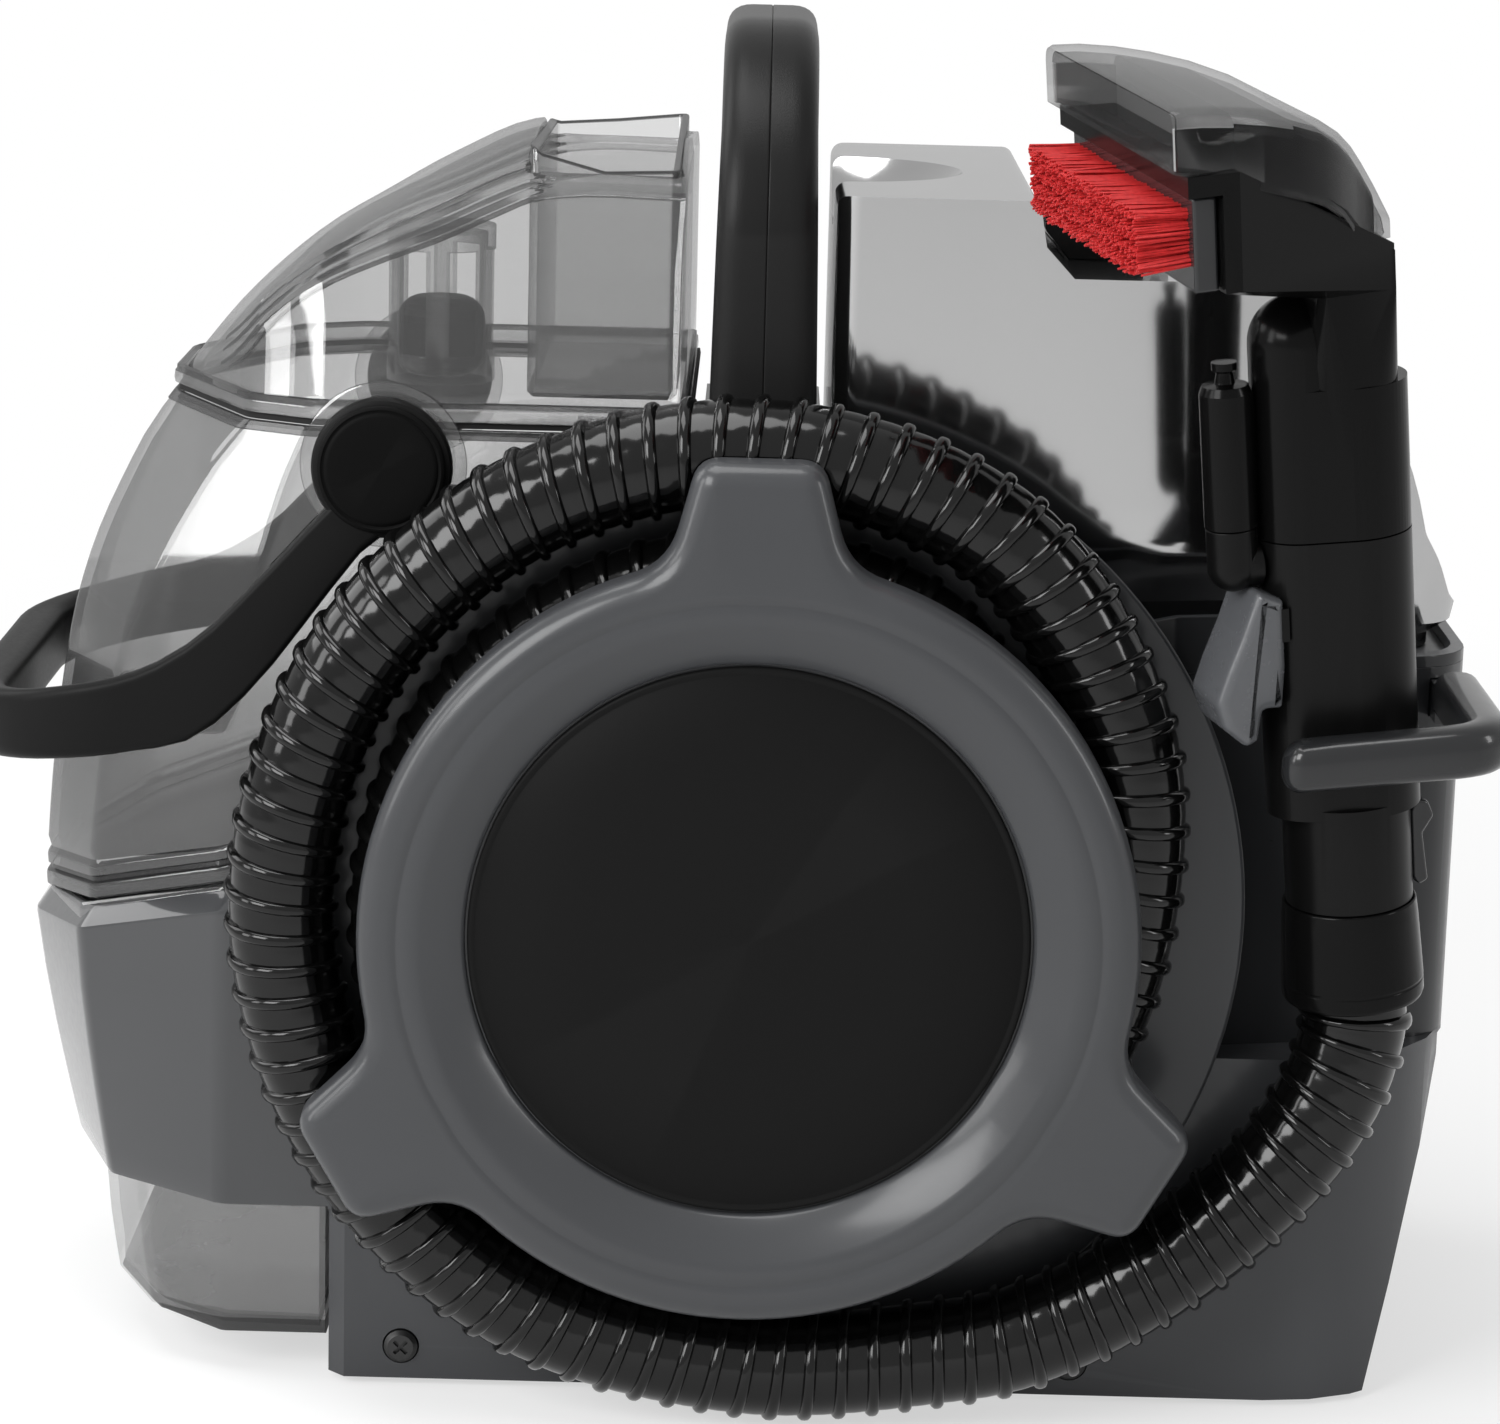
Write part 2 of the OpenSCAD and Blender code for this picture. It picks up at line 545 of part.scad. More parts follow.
// recovery tank
module tank_bucket() {
  color([0.8, 0.82, 0.83, 0.4]) difference() {
    union() {
      bucket_form(0);
      along_y(pivot_x, pivot_z, 5, tank_y0 - 6.5, tank_y0 + 1);
      along_y(pivot_x, pivot_z, 5, tank_y1 - 1, tank_y1 + 6.5);
    }
    bucket_form(clear_t);
    along_x(fan_y, port[1], 11, -20, 0);
    along_x(60, 222, 9, -20, 0);
  }
}
module seam_ring(d, z0, z1) {
  intersection() {
    plan(tank_plan(d), z0, z1);
    bow_cuts([[seam_z - 20, -138], [seam_z + 20, -138]], d);
    box([-138 + d, -200, 0], [0, 200, 300]);
  }
}
module tank_gasket() {
  color([0.15, 0.15, 0.15]) difference() {
    seam_ring(0.2, seam_z, seam_z + 1.5);
    seam_ring(2.4, seam_z - 1, seam_z + 3);
  }
}
module inlet_tower() {
  color([0.5, 0.52, 0.53, 0.6]) difference() {
    box([-38, 8, deck_a + 3], [tank_x1 - clear_t - 0.1, 45, 232]);
    box([-36, 10, deck_a + 2], [-13, 43, 230]);
    along_x(fan_y, port[1], 11, -25, 0);
    box([-45, 14, 205], [-30, 39, 226]);
  }
}
module tank_lid() {
  color([0.8, 0.82, 0.83, 0.4]) difference() {
    lid_form(0);
    lid_form(clear_t);
    box([-48.1, -24.6, 292], [-11.1, 77.6, 330]);
  }
}
module lid_spout() {
  color([0.6, 0.62, 0.63, 0.5]) difference() {
    cross_section([[-24.5, 247, 0], [-24.5, 303, 0], [77.5, 308, 0], [77.5, 247, 0]], -48, -11.2);
    box([-46, -22.5, 249], [-13.2, 75.5, 320]);
    along_x(60, 262, 9, -60, -40);
  }
}
module float_cage() {
  color([0.7, 0.72, 0.73, 0.5]) translate([-71, 4, 0]) difference() {
    rotate_extrude() polygon([[11.5, 247], [13.5, 247], [13.5, 286], [0, 286], [0, 284], [11.5, 284]]);
    for (a = [0:60:300]) rotate([0, 0, a]) translate([7, -4, 254]) cube([12, 8, 26]);
  }
}
module float_ball() {
  color([0.06, 0.06, 0.06]) translate([-71, 4, 258]) rotate_extrude()
    polygon(soft([[0, -10, 0], [11, -10, 6], [11, 10, 6], [0, 10, 0]]));
}
module bail() {
  color([0.1, 0.1, 0.1]) difference() {
    intersection() {
      union() {
        side([[-90, 226, 4], [-124, 190, 14], [-136, 183, 12], [-188, 171, 4], [-188, 154, 4],
          [-142, 163, 10], [-121, 167, 16], [-86, 212, 4]], -100, 150);
        along_y(pivot_x, pivot_z, 17, -100, 150);
      }
      difference() {
        plan([[-188, -53, 42], [-55, -53, 0], [-55, 106, 0], [-188, 106, 42]], 100, 300);
        plan([[-176.5, -47.5, 31], [-54, -47.5, 0], [-54, 100.5, 0], [-176.5, 100.5, 31]], 90, 310);
      }
    }
    along_y(pivot_x, pivot_z, 5.05, -100, 150);
  }
}
module pivot_cap(y, s) {
  color([0.08, 0.08, 0.08]) translate([pivot_x, y, pivot_z]) rotate([90 * s, 0, 0]) rotate_extrude()
    polygon([[0, 0], [15.5, 0], [15.5, 0.7], [14.8, 1.3], [0, 1.4]]);
}
module pivot_caps() {
  pivot_cap(-53.05, 1);
  pivot_cap(106.05, -1);
}

// clean tank
module clean_tank() {
  color([0.5, 0.51, 0.52, 0.5]) difference() {
    union() {
      difference() {
        clean_form(0);
        translate([26.5, 26, clean_top + 31]) sphere(45, $fn = 64);
        difference() {
          clean_form(clear_t);
          translate([26.5, 26, clean_top + 31]) sphere(45 + clear_t, $fn = 64);
        }
      }
      for (y = [-6, 54]) box([cap_x - 3, y, notch_z - 0.5], [cap_x + 3, y + 4, cap_z + 3]);
    }
    translate([valve_x, valve_y, 180]) cylinder(r = 7.2, h = 20);
    translate([91, 26, notch_z - 5]) cylinder(r = 11.5, h = 10);
    along_y(cap_x, cap_z, 1.55, -20, 80);
  }
}
module cap_pin() { color([0.6, 0.6, 0.6]) along_y(cap_x, cap_z, 1.5, -6, 58); }
module fill_cap() {
  color([0.07, 0.07, 0.07]) difference() {
    side([[79, 288.6, 2], [85, notch_z + 0.4, 1], [100, notch_z + 0.4, 0], [cap_x, cap_z - 3, 2],
      [cap_x + 3, cap_z, 1], [cap_x, cap_z + 3, 2], [101, 297, 3], [79, 297, 4]], -1.6, 53.6);
    along_y(cap_x, cap_z, 1.58, -20, 80);
  }
}
module outlet_valve() {
  color([0.13, 0.13, 0.13]) translate([valve_x, valve_y, 0]) rotate_extrude()
    polygon([[2.3, 177], [7, 177], [7, 189.1], [10, 189.1], [10, 192], [5, 192], [5, 180], [2.3, 180]]);
}
module valve_poppet() {
  color([0.7, 0.7, 0.72]) translate([valve_x, valve_y, 0]) rotate_extrude()
    polygon([[0, 175.8], [2.22, 175.8], [2.22, 183.5], [4.6, 183.5], [4.6, 187], [1.5, 189], [0, 189]]);
}

// wand
module grip_section() {
  translate([-8, 0]) circle(11.5);
  translate([3.5, 0]) circle(14.5);
  polygon([[-11, -11.1], [-0.3, -14], [-0.3, 14], [-11, 11.1]]);
}
module cuff() {
  color([0.09, 0.09, 0.09]) in_wand() rotate_extrude()
    polygon([[14.25, -1], [16.6, -1], [17.2, 0.5], [17.2, 3], [16.9, 3.6], [17.2, 4.2], [16.4, 20],
      [16, 24], [14.25, 24]]);
}
module wand_handle() {
  color([0.07, 0.07, 0.07]) in_wand() difference() {
    union() {
      translate([0, 0, 24.3]) cylinder(r = 15.3, h = 26);
      translate([0, 0, 48]) linear_extrude(seam_s - 48) grip_section();
      for (y = [-9.5, 7.5]) translate([-24, y, 93]) cube([8, 2, 8]);
    }
    translate([0, 0, 20]) cylinder(r = 10, h = 100);
    translate([-21.5, 20, 97]) rotate([90, 0, 0]) cylinder(r = 1.55, h = 40);
  }
}
module wand_spigot() {
  color([0.2, 0.2, 0.2]) in_wand() rotate_extrude()
    polygon([[7.5, 98], [9.9, 98], [9.9, 114], [9.6, 114.4], [9.6, 139], [9, 140], [7.5, 140]]);
}
module wand_elbow() {
  color([0.07, 0.07, 0.07]) in_wand() translate([-26, 0, 110.4]) {
    cylinder(r = 6, h = tube_s - 110.6);
    sphere(6);
    rotate([0, 90, 0]) cylinder(r = 5.4, h = 6.3);
  }
}
module wand_hook() {
  color([0.25, 0.25, 0.27]) in_wand() translate([0, 2, 0]) rotate([90, 0, 0]) linear_extrude(5)
    polygon([[15.4, 27], [17, 25], [19.4, 26], [18.4, 38], [21.4, 42], [20, 46], [17, 47], [15.4, 44]]);
}
module trigger() {
  color([0.31, 0.31, 0.33]) in_wand() difference() {
    translate([0, 6, 0]) rotate([90, 0, 0]) linear_extrude(12)
      polygon(soft([[-19.9, 101, 1.5], [-23.6, 102, 1.5], [-32, 74, 6], [-27.5, 63, 3], [-22.8, 66, 1.5],
        [-24, 77, 2], [-20.4, 92, 2]]));
    translate([-21.5, 20, 97]) rotate([90, 0, 0]) cylinder(r = 1.58, h = 40);
  }
}
module trigger_pin() {
  color([0.6, 0.6, 0.6]) in_wand() translate([-21.5, 9.5, 97]) rotate([90, 0, 0]) cylinder(r = 1.5, h = 19);
}
module wand_clip() {
  color([0.25, 0.25, 0.27]) {
    plan([[133, -99.5, 5.5], [188, -99.5, 7], [188, -35, 3], [176, -35, 3], [176, -88, 3],
      [133, -88, 5.5]], 171, 186);
    box([177, -36, 174], [183, -16, 183]);
  }
}

// tool
module tool_body() {
  color([0.06, 0.06, 0.06]) difference() {
    union() {
      in_wand() translate([0, 0, seam_s + 0.4]) linear_extrude(36) grip_section();
      in_wand() translate([-8, 0, 150]) cylinder(r = 11.5, h = 12);
      in_wand() translate([-8, 0, 162]) sphere(11.5);
      in_wand() hull() {
        translate([2, 0, 138]) cylinder(r = 13.5, h = 2, $fn = 32);
        translate([-6, -15, 175]) cube([17, 30, 9]);
      }
      in_head() hull() {
        translate([-40.4, -tool_w, 184]) cube([4, 2 * tool_w, 27]);
        translate([-6, -15, 172]) cube([17, 30, 11]);
      }
      in_head() translate([-48.4, -tool_w, 206.2]) cube([10, 2 * tool_w, 4.8]);
    }
    in_wand() translate([0, 0, 100]) cylinder(r = 9.65, h = 42);
    in_wand() translate([0, 0, 140]) cylinder(r = 7.5, h = 30);
  }
}
module window_form(d) {
  hull() {
    translate([-51.4 + d, -tool_w + d, 212 - 3 * d]) cube([2, 2 * tool_w - 2 * d, 13.5 + 2 * d]);
    translate([-16, -tool_w + 9 + d, 199 - 2 * d]) cube([8, 2 * tool_w - 18 - 2 * d, 13.5 + d]);
    translate([-2, -15 + d, 184 - 3 * d]) cube([7, 30 - 2 * d, 14 + 2 * d]);
    translate([-2, -14 + d, 184 - 3 * d]) cube([13.5 - d, 28 - 2 * d, 2 + 2 * d]);
  }
}
module tool_window() {
  color([0.75, 0.77, 0.78, 0.5]) in_head() difference() {
    window_form(0);
    window_form(2);
    hull() {
      translate([-49.4, -tool_w - 1, 184]) cube([13.4, 2 * tool_w + 2, 27.3]);
      translate([-7, -20, 172]) cube([19, 40, 11.3]);
    }
  }
}
module brush_block() {
  color([0.25, 0.25, 0.26]) in_head() translate([-46.4, -tool_w + 3, 184]) cube([5.7, 2 * tool_w - 6, 21.5]);
}
module bristles() {
  reach = tool_w - 6.7;
  color([0.7, 0.15, 0.16]) in_head() {
    translate([-47.4, -tool_w + 4, 187]) cube([0.9, 2 * tool_w - 8, 17]);
    for (row = [0:2], tuft = [0:20], k = [0:4])
      translate([-46.9, (tuft / 10 - 1) * reach + 0.7 * cos(72 * k), 191.2 + 4.6 * row + 1.1 * sin(72 * k)])
        rotate([0, -90 - 4 * (row - 1), 0]) cylinder(r1 = 0.42, r2 = 0.34, h = 12, $fn = 3);
  }
}
module spray_tube() {
  color([0.07, 0.07, 0.07]) in_wand() translate([-26, 0, tube_s + 0.2]) {
    cylinder(r = 6.2, h = 32);
    translate([0, 0, 31.9]) rotate_extrude()
      polygon([[0, 0], [6.2, 0], [5.4, 2], [2.4, 2.4], [2, 5], [3, 5.6], [3, 7.4], [0, 7.6]]);
  }
}

// piece to draw
echo(hose_length = hose_len, hose_gap = hose_gap);

set_down() base_housing();
set_down() base_deck();
set_down() base_shoulder();
set_down() base_upper();
set_down() base_plate();
set_down() rubber_feet();
set_down() screws();
set_down() collar();
set_down() handle_left();
set_down() handle_right();
set_down() hose_flange();
set_down() hose_hub();
set_down() ring_cover();
set_down() ring_disc();
set_down() hose_port();
set_down() hose();
set_down() motor_can();
set_down() motor_rotor();
set_down() bearings();
set_down() fan_housing();
set_down() impeller();
set_down() motor_mount();
set_down() pump_body();
set_down() pump_tubes();
set_down() valve_seat();
set_down() suction_duct();
set_down() inlet_gasket();
set_down() vacuum_duct();
set_down() power_switch();
set_down() cord_gland();
set_down() exhaust_grille();
set_down() hook_fixed();
set_down() hook_swivel();
set_down() tank_bucket();
set_down() tank_gasket();
set_down() inlet_tower();
set_down() tank_lid();
set_down() lid_spout();
set_down() float_cage();
set_down() float_ball();
set_down() bail();
set_down() pivot_caps();
set_down() clean_tank();
set_down() cap_pin();
set_down() fill_cap();
set_down() outlet_valve();
set_down() valve_poppet();
set_down() cuff();
set_down() wand_handle();
set_down() wand_spigot();
set_down() wand_elbow();
set_down() wand_hook();
set_down() trigger();
set_down() trigger_pin();
set_down() wand_clip();
set_down() tool_body();
set_down() tool_window();
set_down() brush_block();
set_down() bristles();
set_down() spray_tube();
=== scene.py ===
import json
import random
import bpy
import bmesh
from math import atan2, cos, pi, radians, sin, sqrt, tan
from mathutils import Matrix, Vector


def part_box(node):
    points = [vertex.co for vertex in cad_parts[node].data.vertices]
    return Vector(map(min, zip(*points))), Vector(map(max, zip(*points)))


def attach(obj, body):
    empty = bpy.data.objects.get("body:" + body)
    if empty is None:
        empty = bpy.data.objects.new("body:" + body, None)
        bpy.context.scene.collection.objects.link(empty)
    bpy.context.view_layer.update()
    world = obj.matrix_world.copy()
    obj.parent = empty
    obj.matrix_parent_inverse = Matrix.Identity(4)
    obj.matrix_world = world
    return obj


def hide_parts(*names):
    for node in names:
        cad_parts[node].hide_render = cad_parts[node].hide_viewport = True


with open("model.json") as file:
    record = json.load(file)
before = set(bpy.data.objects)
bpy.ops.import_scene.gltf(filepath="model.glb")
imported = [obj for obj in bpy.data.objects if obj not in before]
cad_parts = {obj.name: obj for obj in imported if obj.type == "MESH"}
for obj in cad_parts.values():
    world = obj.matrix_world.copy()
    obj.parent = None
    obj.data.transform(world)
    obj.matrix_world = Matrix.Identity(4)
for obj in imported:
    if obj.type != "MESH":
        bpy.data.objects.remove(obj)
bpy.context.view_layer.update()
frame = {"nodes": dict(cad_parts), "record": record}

nodes, record = frame["nodes"], frame["record"]
scene = bpy.context.scene
bodyOf = {n: b for b, members in record["behaviour"]["bodies"].items() for n in members}
slotOf = {s["node"]: s["material_slot"] for s in record["subparts"]}
mm = 0.001
nearWall = -51.0  # hose side wall, in the part's own millimetres
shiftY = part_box("base_housing")[0][1] / mm - nearWall
print("frame loaded:", len(nodes), "nodes")


def at(x, y, z):  # part millimetres to the frame's metres
    return Vector((x, y + shiftY, z)) * mm


# camera: fitted to the photograph
cameraFit = {"eye": (8.84, -1116.96, 411.73), "pitch": 12.5, "roll": 1.5, "focal": 4500, "wide": 1500}


def placeCamera(fit):
    pitch, roll = radians(fit["pitch"]), radians(fit["roll"])
    ahead = Vector((0, cos(pitch), -sin(pitch)))
    up, right = Vector((0, sin(pitch), cos(pitch))), Vector((1, 0, 0))
    across = right * cos(roll) + up * sin(roll)
    upright = up * cos(roll) - right * sin(roll)
    data = bpy.data.cameras.new("camera")
    data.sensor_width = 36
    data.lens = fit["focal"] / fit["wide"] * 36
    data.clip_start, data.clip_end = 0.01, 50
    camera = bpy.data.objects.new("camera", data)
    scene.collection.objects.link(camera)
    turn = Matrix((across, upright, -ahead)).transposed().to_4x4()
    camera.matrix_world = Matrix.Translation(at(*fit["eye"])) @ turn
    scene.camera = camera


placeCamera(cameraFit)


# shader maths: one wrapped socket, so finishes read as expressions
class Val:
    def __init__(self, tree, socket):
        self.tree, self.socket = tree, socket

    def maths(self, operation, a, b):
        n = self.tree.nodes.new("ShaderNodeMath")
        n.operation = operation
        for socket, value in zip(n.inputs, (a, b)):
            if isinstance(value, Val):
                self.tree.links.new(value.socket, socket)
            else:
                socket.default_value = value
        return Val(self.tree, n.outputs[0])

    def __add__(self, other): return self.maths("ADD", self, other)
    def __radd__(self, other): return self.maths("ADD", other, self)
    def __sub__(self, other): return self.maths("SUBTRACT", self, other)
    def __rsub__(self, other): return self.maths("SUBTRACT", other, self)
    def __mul__(self, other): return self.maths("MULTIPLY", self, other)
    def __rmul__(self, other): return self.maths("MULTIPLY", other, self)


class Finish:
    def __init__(self, name, owner=None):  # owner: a world, where it isn't a material
        self.owner = owner or bpy.data.materials.new(name)
        self.owner.use_nodes = True
        self.tree = self.owner.node_tree
        self.tree.nodes.clear()

    def add(self, kind, settings=None, inputs=None, out=0):
        n = self.tree.nodes.new("ShaderNode" + kind)
        for key, value in (settings or {}).items():
            setattr(n, key, value)
        for key, value in (inputs or {}).items():
            if isinstance(value, Val):
                self.tree.links.new(value.socket, n.inputs[key])
            else:
                n.inputs[key].default_value = value
        return Val(self.tree, n.outputs[out]) if n.outputs else None

    def spot(self):
        return self.add("TexCoord", out=3)  # object coordinates, in metres

    def noise(self, scale, detail=3.0, rough=0.5, spot=None):
        return self.add("TexNoise", inputs={"Vector": spot or self.spot(), "Scale": scale,
                                            "Detail": detail, "Roughness": rough})

    def blend(self, factor, a, b):
        return self.add("Mix", {"data_type": "RGBA"}, {0: factor, 6: a, 7: b}, out=2)

    def ramp(self, value, start, end, low=0.0, high=1.0, **settings):
        return self.add("MapRange", {"clamp": True, **settings}, {
            "Value": value, "From Min": start, "From Max": end, "To Min": low, "To Max": high})

    def bump(self, height, strength, distance):
        return self.add("Bump", inputs={"Height": height, "Strength": strength, "Distance": distance})

    def principled(self, inputs):
        return self.close(self.add("BsdfPrincipled", inputs=inputs))

    def close(self, shader, kind="OutputMaterial"):
        self.add(kind, inputs={"Surface": shader})
        return self.owner


def grey(v, tint=0.0):  # linear grey, tinted a little to blue
    return (v * (1 - tint), v, v * (1 + 2 * tint), 1)


# moulded plastics: fine grain, slow colour drift, rubbed edges
def moulded(name, look):
    f = Finish(name)
    tint = look.get("tint", 0)
    drift = f.noise(14, 4)
    grain = f.noise(look["grainScale"], 2)
    speck = f.noise(look["grainScale"] * 0.31, 5, 0.6)
    rub = f.add("NewGeometry", out=7)  # pointiness, high on worn edges
    worn = f.ramp(rub, 0.52, 0.62, high=look.get("wear", 0.25))
    dark, pale, rubbed = look["tone"] * 0.9, look["tone"] * 1.12, look["tone"] * 1.9 + 0.01
    colour = f.blend(worn, f.blend(drift, grey(dark, tint), grey(pale, tint)), grey(rubbed, tint))
    return f.principled({
        "Base Color": colour,
        "Roughness": look["rough"] + (speck - 0.5) * look.get("roughSpread", 0.12),
        "Normal": f.bump(grain + speck * 0.5, look["grain"], 0.0002),
        "Specular IOR Level": look.get("specular", 0.5),
        "Coat Weight": look.get("coat", 0.0),
        "Coat Roughness": look.get("coatRough", 0.06)})


# the carry handle: smooth on the grip, spark texture on its legs
def handlePlastic(name, look):
    f = Finish(name)
    height = f.add("SeparateXYZ", inputs={"Vector": f.spot()}, out=2)
    leg = f.ramp(height + (f.noise(60, 2) - 0.5) * 0.004, look["legTop"], look["legTop"] - 0.002)
    grain = f.noise(2600, 3, 0.6)
    drift = f.noise(16, 4)
    base = f.blend(drift, grey(look["tone"] * 0.85), grey(look["tone"] * 1.15))
    return f.principled({
        "Base Color": f.blend(leg * grain * 0.5, base, grey(look["tone"] * 1.8)),
        "Roughness": look["rough"] + leg * 0.12 + (grain - 0.5) * 0.1,
        "Normal": f.bump(grain, 0.22, 0.00025),
        "Specular IOR Level": 0.12})


# clear plastics: tinted see-through wall, darker at glancing edges, under a glossy skin
def clearPlastic(name, look):
    f = Finish(name)
    edge = f.add("LayerWeight", inputs={"Blend": 0.28}, out=1)
    haze = f.noise(9, 3)
    smear = f.noise(45, 4, 0.6)
    ripple = f.bump(f.noise(look.get("wave", 22), 2), look.get("waveHigh", 0.03), 0.0008)
    body = f.add("BsdfPrincipled", inputs={
        "Base Color": f.blend(haze, grey(look["tone"] * 0.9, 0.01), grey(look["tone"] * 1.1, 0.01)),
        "Roughness": 0.3 + smear * 0.1,
        "Normal": ripple,
        "Specular IOR Level": 0.1})
    through = f.add("BsdfTransparent", inputs={"Color": grey(look["through"])})
    share = look["body"] + edge * look["rim"] + (haze - 0.5) * 0.03
    if "shade" in look:  # painted shade: the wall darkens towards its foot
        high, low, more = look["shade"]
        height = f.add("SeparateXYZ", inputs={"Vector": f.spot()}, out=2)
        share = share + f.ramp(height, high, low, high=more)
    wall = f.add("MixShader", inputs={0: share, 1: through, 2: body})
    skin = f.add("BsdfGlossy", inputs={"Color": grey(0.95), "Normal": ripple,
                                       "Roughness": look["rough"] + smear * 0.03})
    sheen = look["gloss"] + edge * edge * look["glossRim"]
    return f.close(f.add("MixShader", inputs={0: sheen, 1: wall, 2: skin}))


def glossHose(name, look):
    f = Finish(name)
    drift = f.noise(35, 4)
    streak = f.noise(210, 3, 0.6)
    return f.principled({
        "Base Color": f.blend(drift, grey(look["tone"] * 0.6), grey(look["tone"] * 1.5)),
        "Roughness": look["rough"] + (streak - 0.5) * 0.08,
        "Normal": f.bump(streak, 0.05, 0.0003),
        "Specular IOR Level": look["specular"]})


def bristleRed(name, look):
    f = Finish(name)
    vary = f.noise(900, 2)
    shade = f.noise(260, 3)
    colour = f.blend(vary, (*look["dark"], 1), (*look["light"], 1))
    return f.principled({
        "Base Color": colour, "Roughness": 0.42 + (shade - 0.5) * 0.2,
        "Normal": f.bump(shade, 0.1, 0.0002)})


def machined(name, look):
    f = Finish(name)
    place = f.add("Mapping", inputs={"Vector": f.spot(), "Scale": (1, 1, 40)})
    brushed = f.noise(90, 4, 0.6, place)
    return f.principled({
        "Base Color": f.blend(brushed, (*[c * 0.8 for c in look["colour"]], 1), (*look["colour"], 1)),
        "Metallic": 1.0 - brushed * 0.1,
        "Roughness": look["rough"] + (brushed - 0.5) * 0.15,
        "Normal": f.bump(brushed, 0.05, 0.0001)})


finishes = {
    "grey_housing": moulded("housing grey", {
        "tone": 0.042, "tint": 0.035, "rough": 0.36, "grainScale": 1500, "grain": 0.08, "wear": 0.15, "specular": 0.2,
        "coat": 0.3, "coatRough": 0.16}),
    "dark_plastic": moulded("dark inner plastic", {
        "tone": 0.01, "rough": 0.45, "grainScale": 1200, "grain": 0.12, "specular": 0.1}),
    "black_matte": moulded("soft black", {
        "tone": 0.006, "rough": 0.42, "grainScale": 2600, "grain": 0.06, "wear": 0.1, "specular": 0.08}),
    "black_gloss": moulded("gloss black", {
        "tone": 0.0025, "rough": 0.2, "roughSpread": 0.06, "grainScale": 700, "grain": 0.02, "wear": 0.05,
        "specular": 0.1}),
    "hose_black": glossHose("hose black", {"tone": 0.002, "rough": 0.12, "specular": 0.32}),
    "clear_tank": clearPlastic("clear wall", {
        "tone": 0.03, "through": 0.92, "body": 0.06, "rim": 0.55, "gloss": 0.06, "glossRim": 0.3, "rough": 0.03}),
    "smoke_tank": clearPlastic("smoked wall", {
        "tone": 0.006, "through": 0.7, "body": 0.8, "rim": 0.15, "gloss": 0.42, "glossRim": 0.3, "rough": 0.1,
        "wave": 14, "waveHigh": 0.05}),
    "grey_clip": moulded("clip grey", {
        "tone": 0.014, "tint": 0.035, "rough": 0.25, "grainScale": 900, "grain": 0.03, "specular": 0.2, "coat": 0.4,
        "coatRough": 0.1}),
    "red_bristle": bristleRed("bristle red", {"dark": (0.33, 0.010, 0.012), "light": (0.62, 0.03, 0.03)}),
    "rubber": moulded("rubber", {"tone": 0.008, "rough": 0.6, "grainScale": 800, "grain": 0.25, "specular": 0.1}),
    "steel": machined("bright steel", {"colour": (0.55, 0.55, 0.57), "rough": 0.32}),
    "winding": machined("copper winding", {"colour": (0.62, 0.3, 0.14), "rough": 0.4}),
    "alloy": machined("cast alloy", {"colour": (0.7, 0.7, 0.72), "rough": 0.45}),
    "pump": moulded("pump case", {"tone": 0.09, "rough": 0.5, "grainScale": 900, "grain": 0.15}),
    "line": moulded("milky tube", {"tone": 0.5, "rough": 0.4, "grainScale": 500, "grain": 0.05}),
}
handleFinish = handlePlastic("handle black", {"tone": 0.0085, "rough": 0.34, "legTop": 0.292})
discFinish = moulded("disc black", {
    "tone": 0.0065, "rough": 0.45, "grainScale": 2600, "grain": 0.1, "wear": 0.1, "specular": 0.06})
knobFinish = moulded("knob black", {
    "tone": 0.0035, "rough": 0.5, "grainScale": 2600, "grain": 0.06, "wear": 0.1, "specular": 0.04})
# a glossier coat for the bay's walls, with a darker tone that is painted shade
bayGlossAndShadeFinish = moulded("glossy housing", {
    "tone": 0.02, "tint": 0.035, "rough": 0.3, "grainScale": 1500, "grain": 0.02, "wear": 0.1, "specular": 0.15,
    "coat": 0.3, "coatRough": 0.03})
triggerFinish = moulded("trigger grey", {
    "tone": 0.08, "tint": 0.035, "rough": 0.26, "grainScale": 900, "grain": 0.02, "specular": 0.4})
wandFinish = moulded("wand black", {
    "tone": 0.003, "rough": 0.3, "roughSpread": 0.06, "grainScale": 900, "grain": 0.03, "wear": 0.05,
    "specular": 0.13})
screwFinish = moulded("screw black", {"tone": 0.01, "rough": 0.4, "grainScale": 900, "grain": 0.06})
smokeFinish = clearPlastic("window wall", {
    "tone": 0.02, "through": 0.86, "body": 0.06, "rim": 0.5, "gloss": 0.004, "glossRim": 0.3, "rough": 0.05})
# the bucket wall carries painted shade, darker towards its foot
bucketFinish = clearPlastic("bucket wall", {
    "tone": 0.03, "through": 0.92, "body": 0.06, "rim": 0.55, "gloss": 0.06, "glossRim": 0.3, "rough": 0.03,
    "shade": (0.185, 0.145, 0.3)})
# painted shade: a darker, denser clear plastic for the edges, steps and seams of clear walls
edgeShadeFinish = clearPlastic("clear edge", {
    "tone": 0.02, "through": 0.6, "body": 0.6, "rim": 0.3, "gloss": 0.03, "glossRim": 0.1, "rough": 0.05})
# painted highlight: a lighter grey for the lit faces of the black nozzle core
coreHighlightFinish = moulded("nozzle core painted highlight", {
    "tone": 0.35, "rough": 0.5, "grainScale": 1200, "grain": 0.05, "specular": 0.1})
sumpFinish = clearPlastic("sump wall", {
    "tone": 0.1, "through": 0.985, "body": 0.02, "rim": 0.4, "gloss": 0.08, "glossRim": 0.3, "rough": 0.03})
collarFinish = moulded("collar grey", {
    "tone": 0.03, "tint": 0.035, "rough": 0.36, "grainScale": 1500, "grain": 0.03, "wear": 0.15, "specular": 0.2,
    "coat": 0.8, "coatRough": 0.05})
for name, node in nodes.items():
    node.data.materials.clear()
    node.data.materials.append(finishes[slotOf[name]])
print("finishes made")


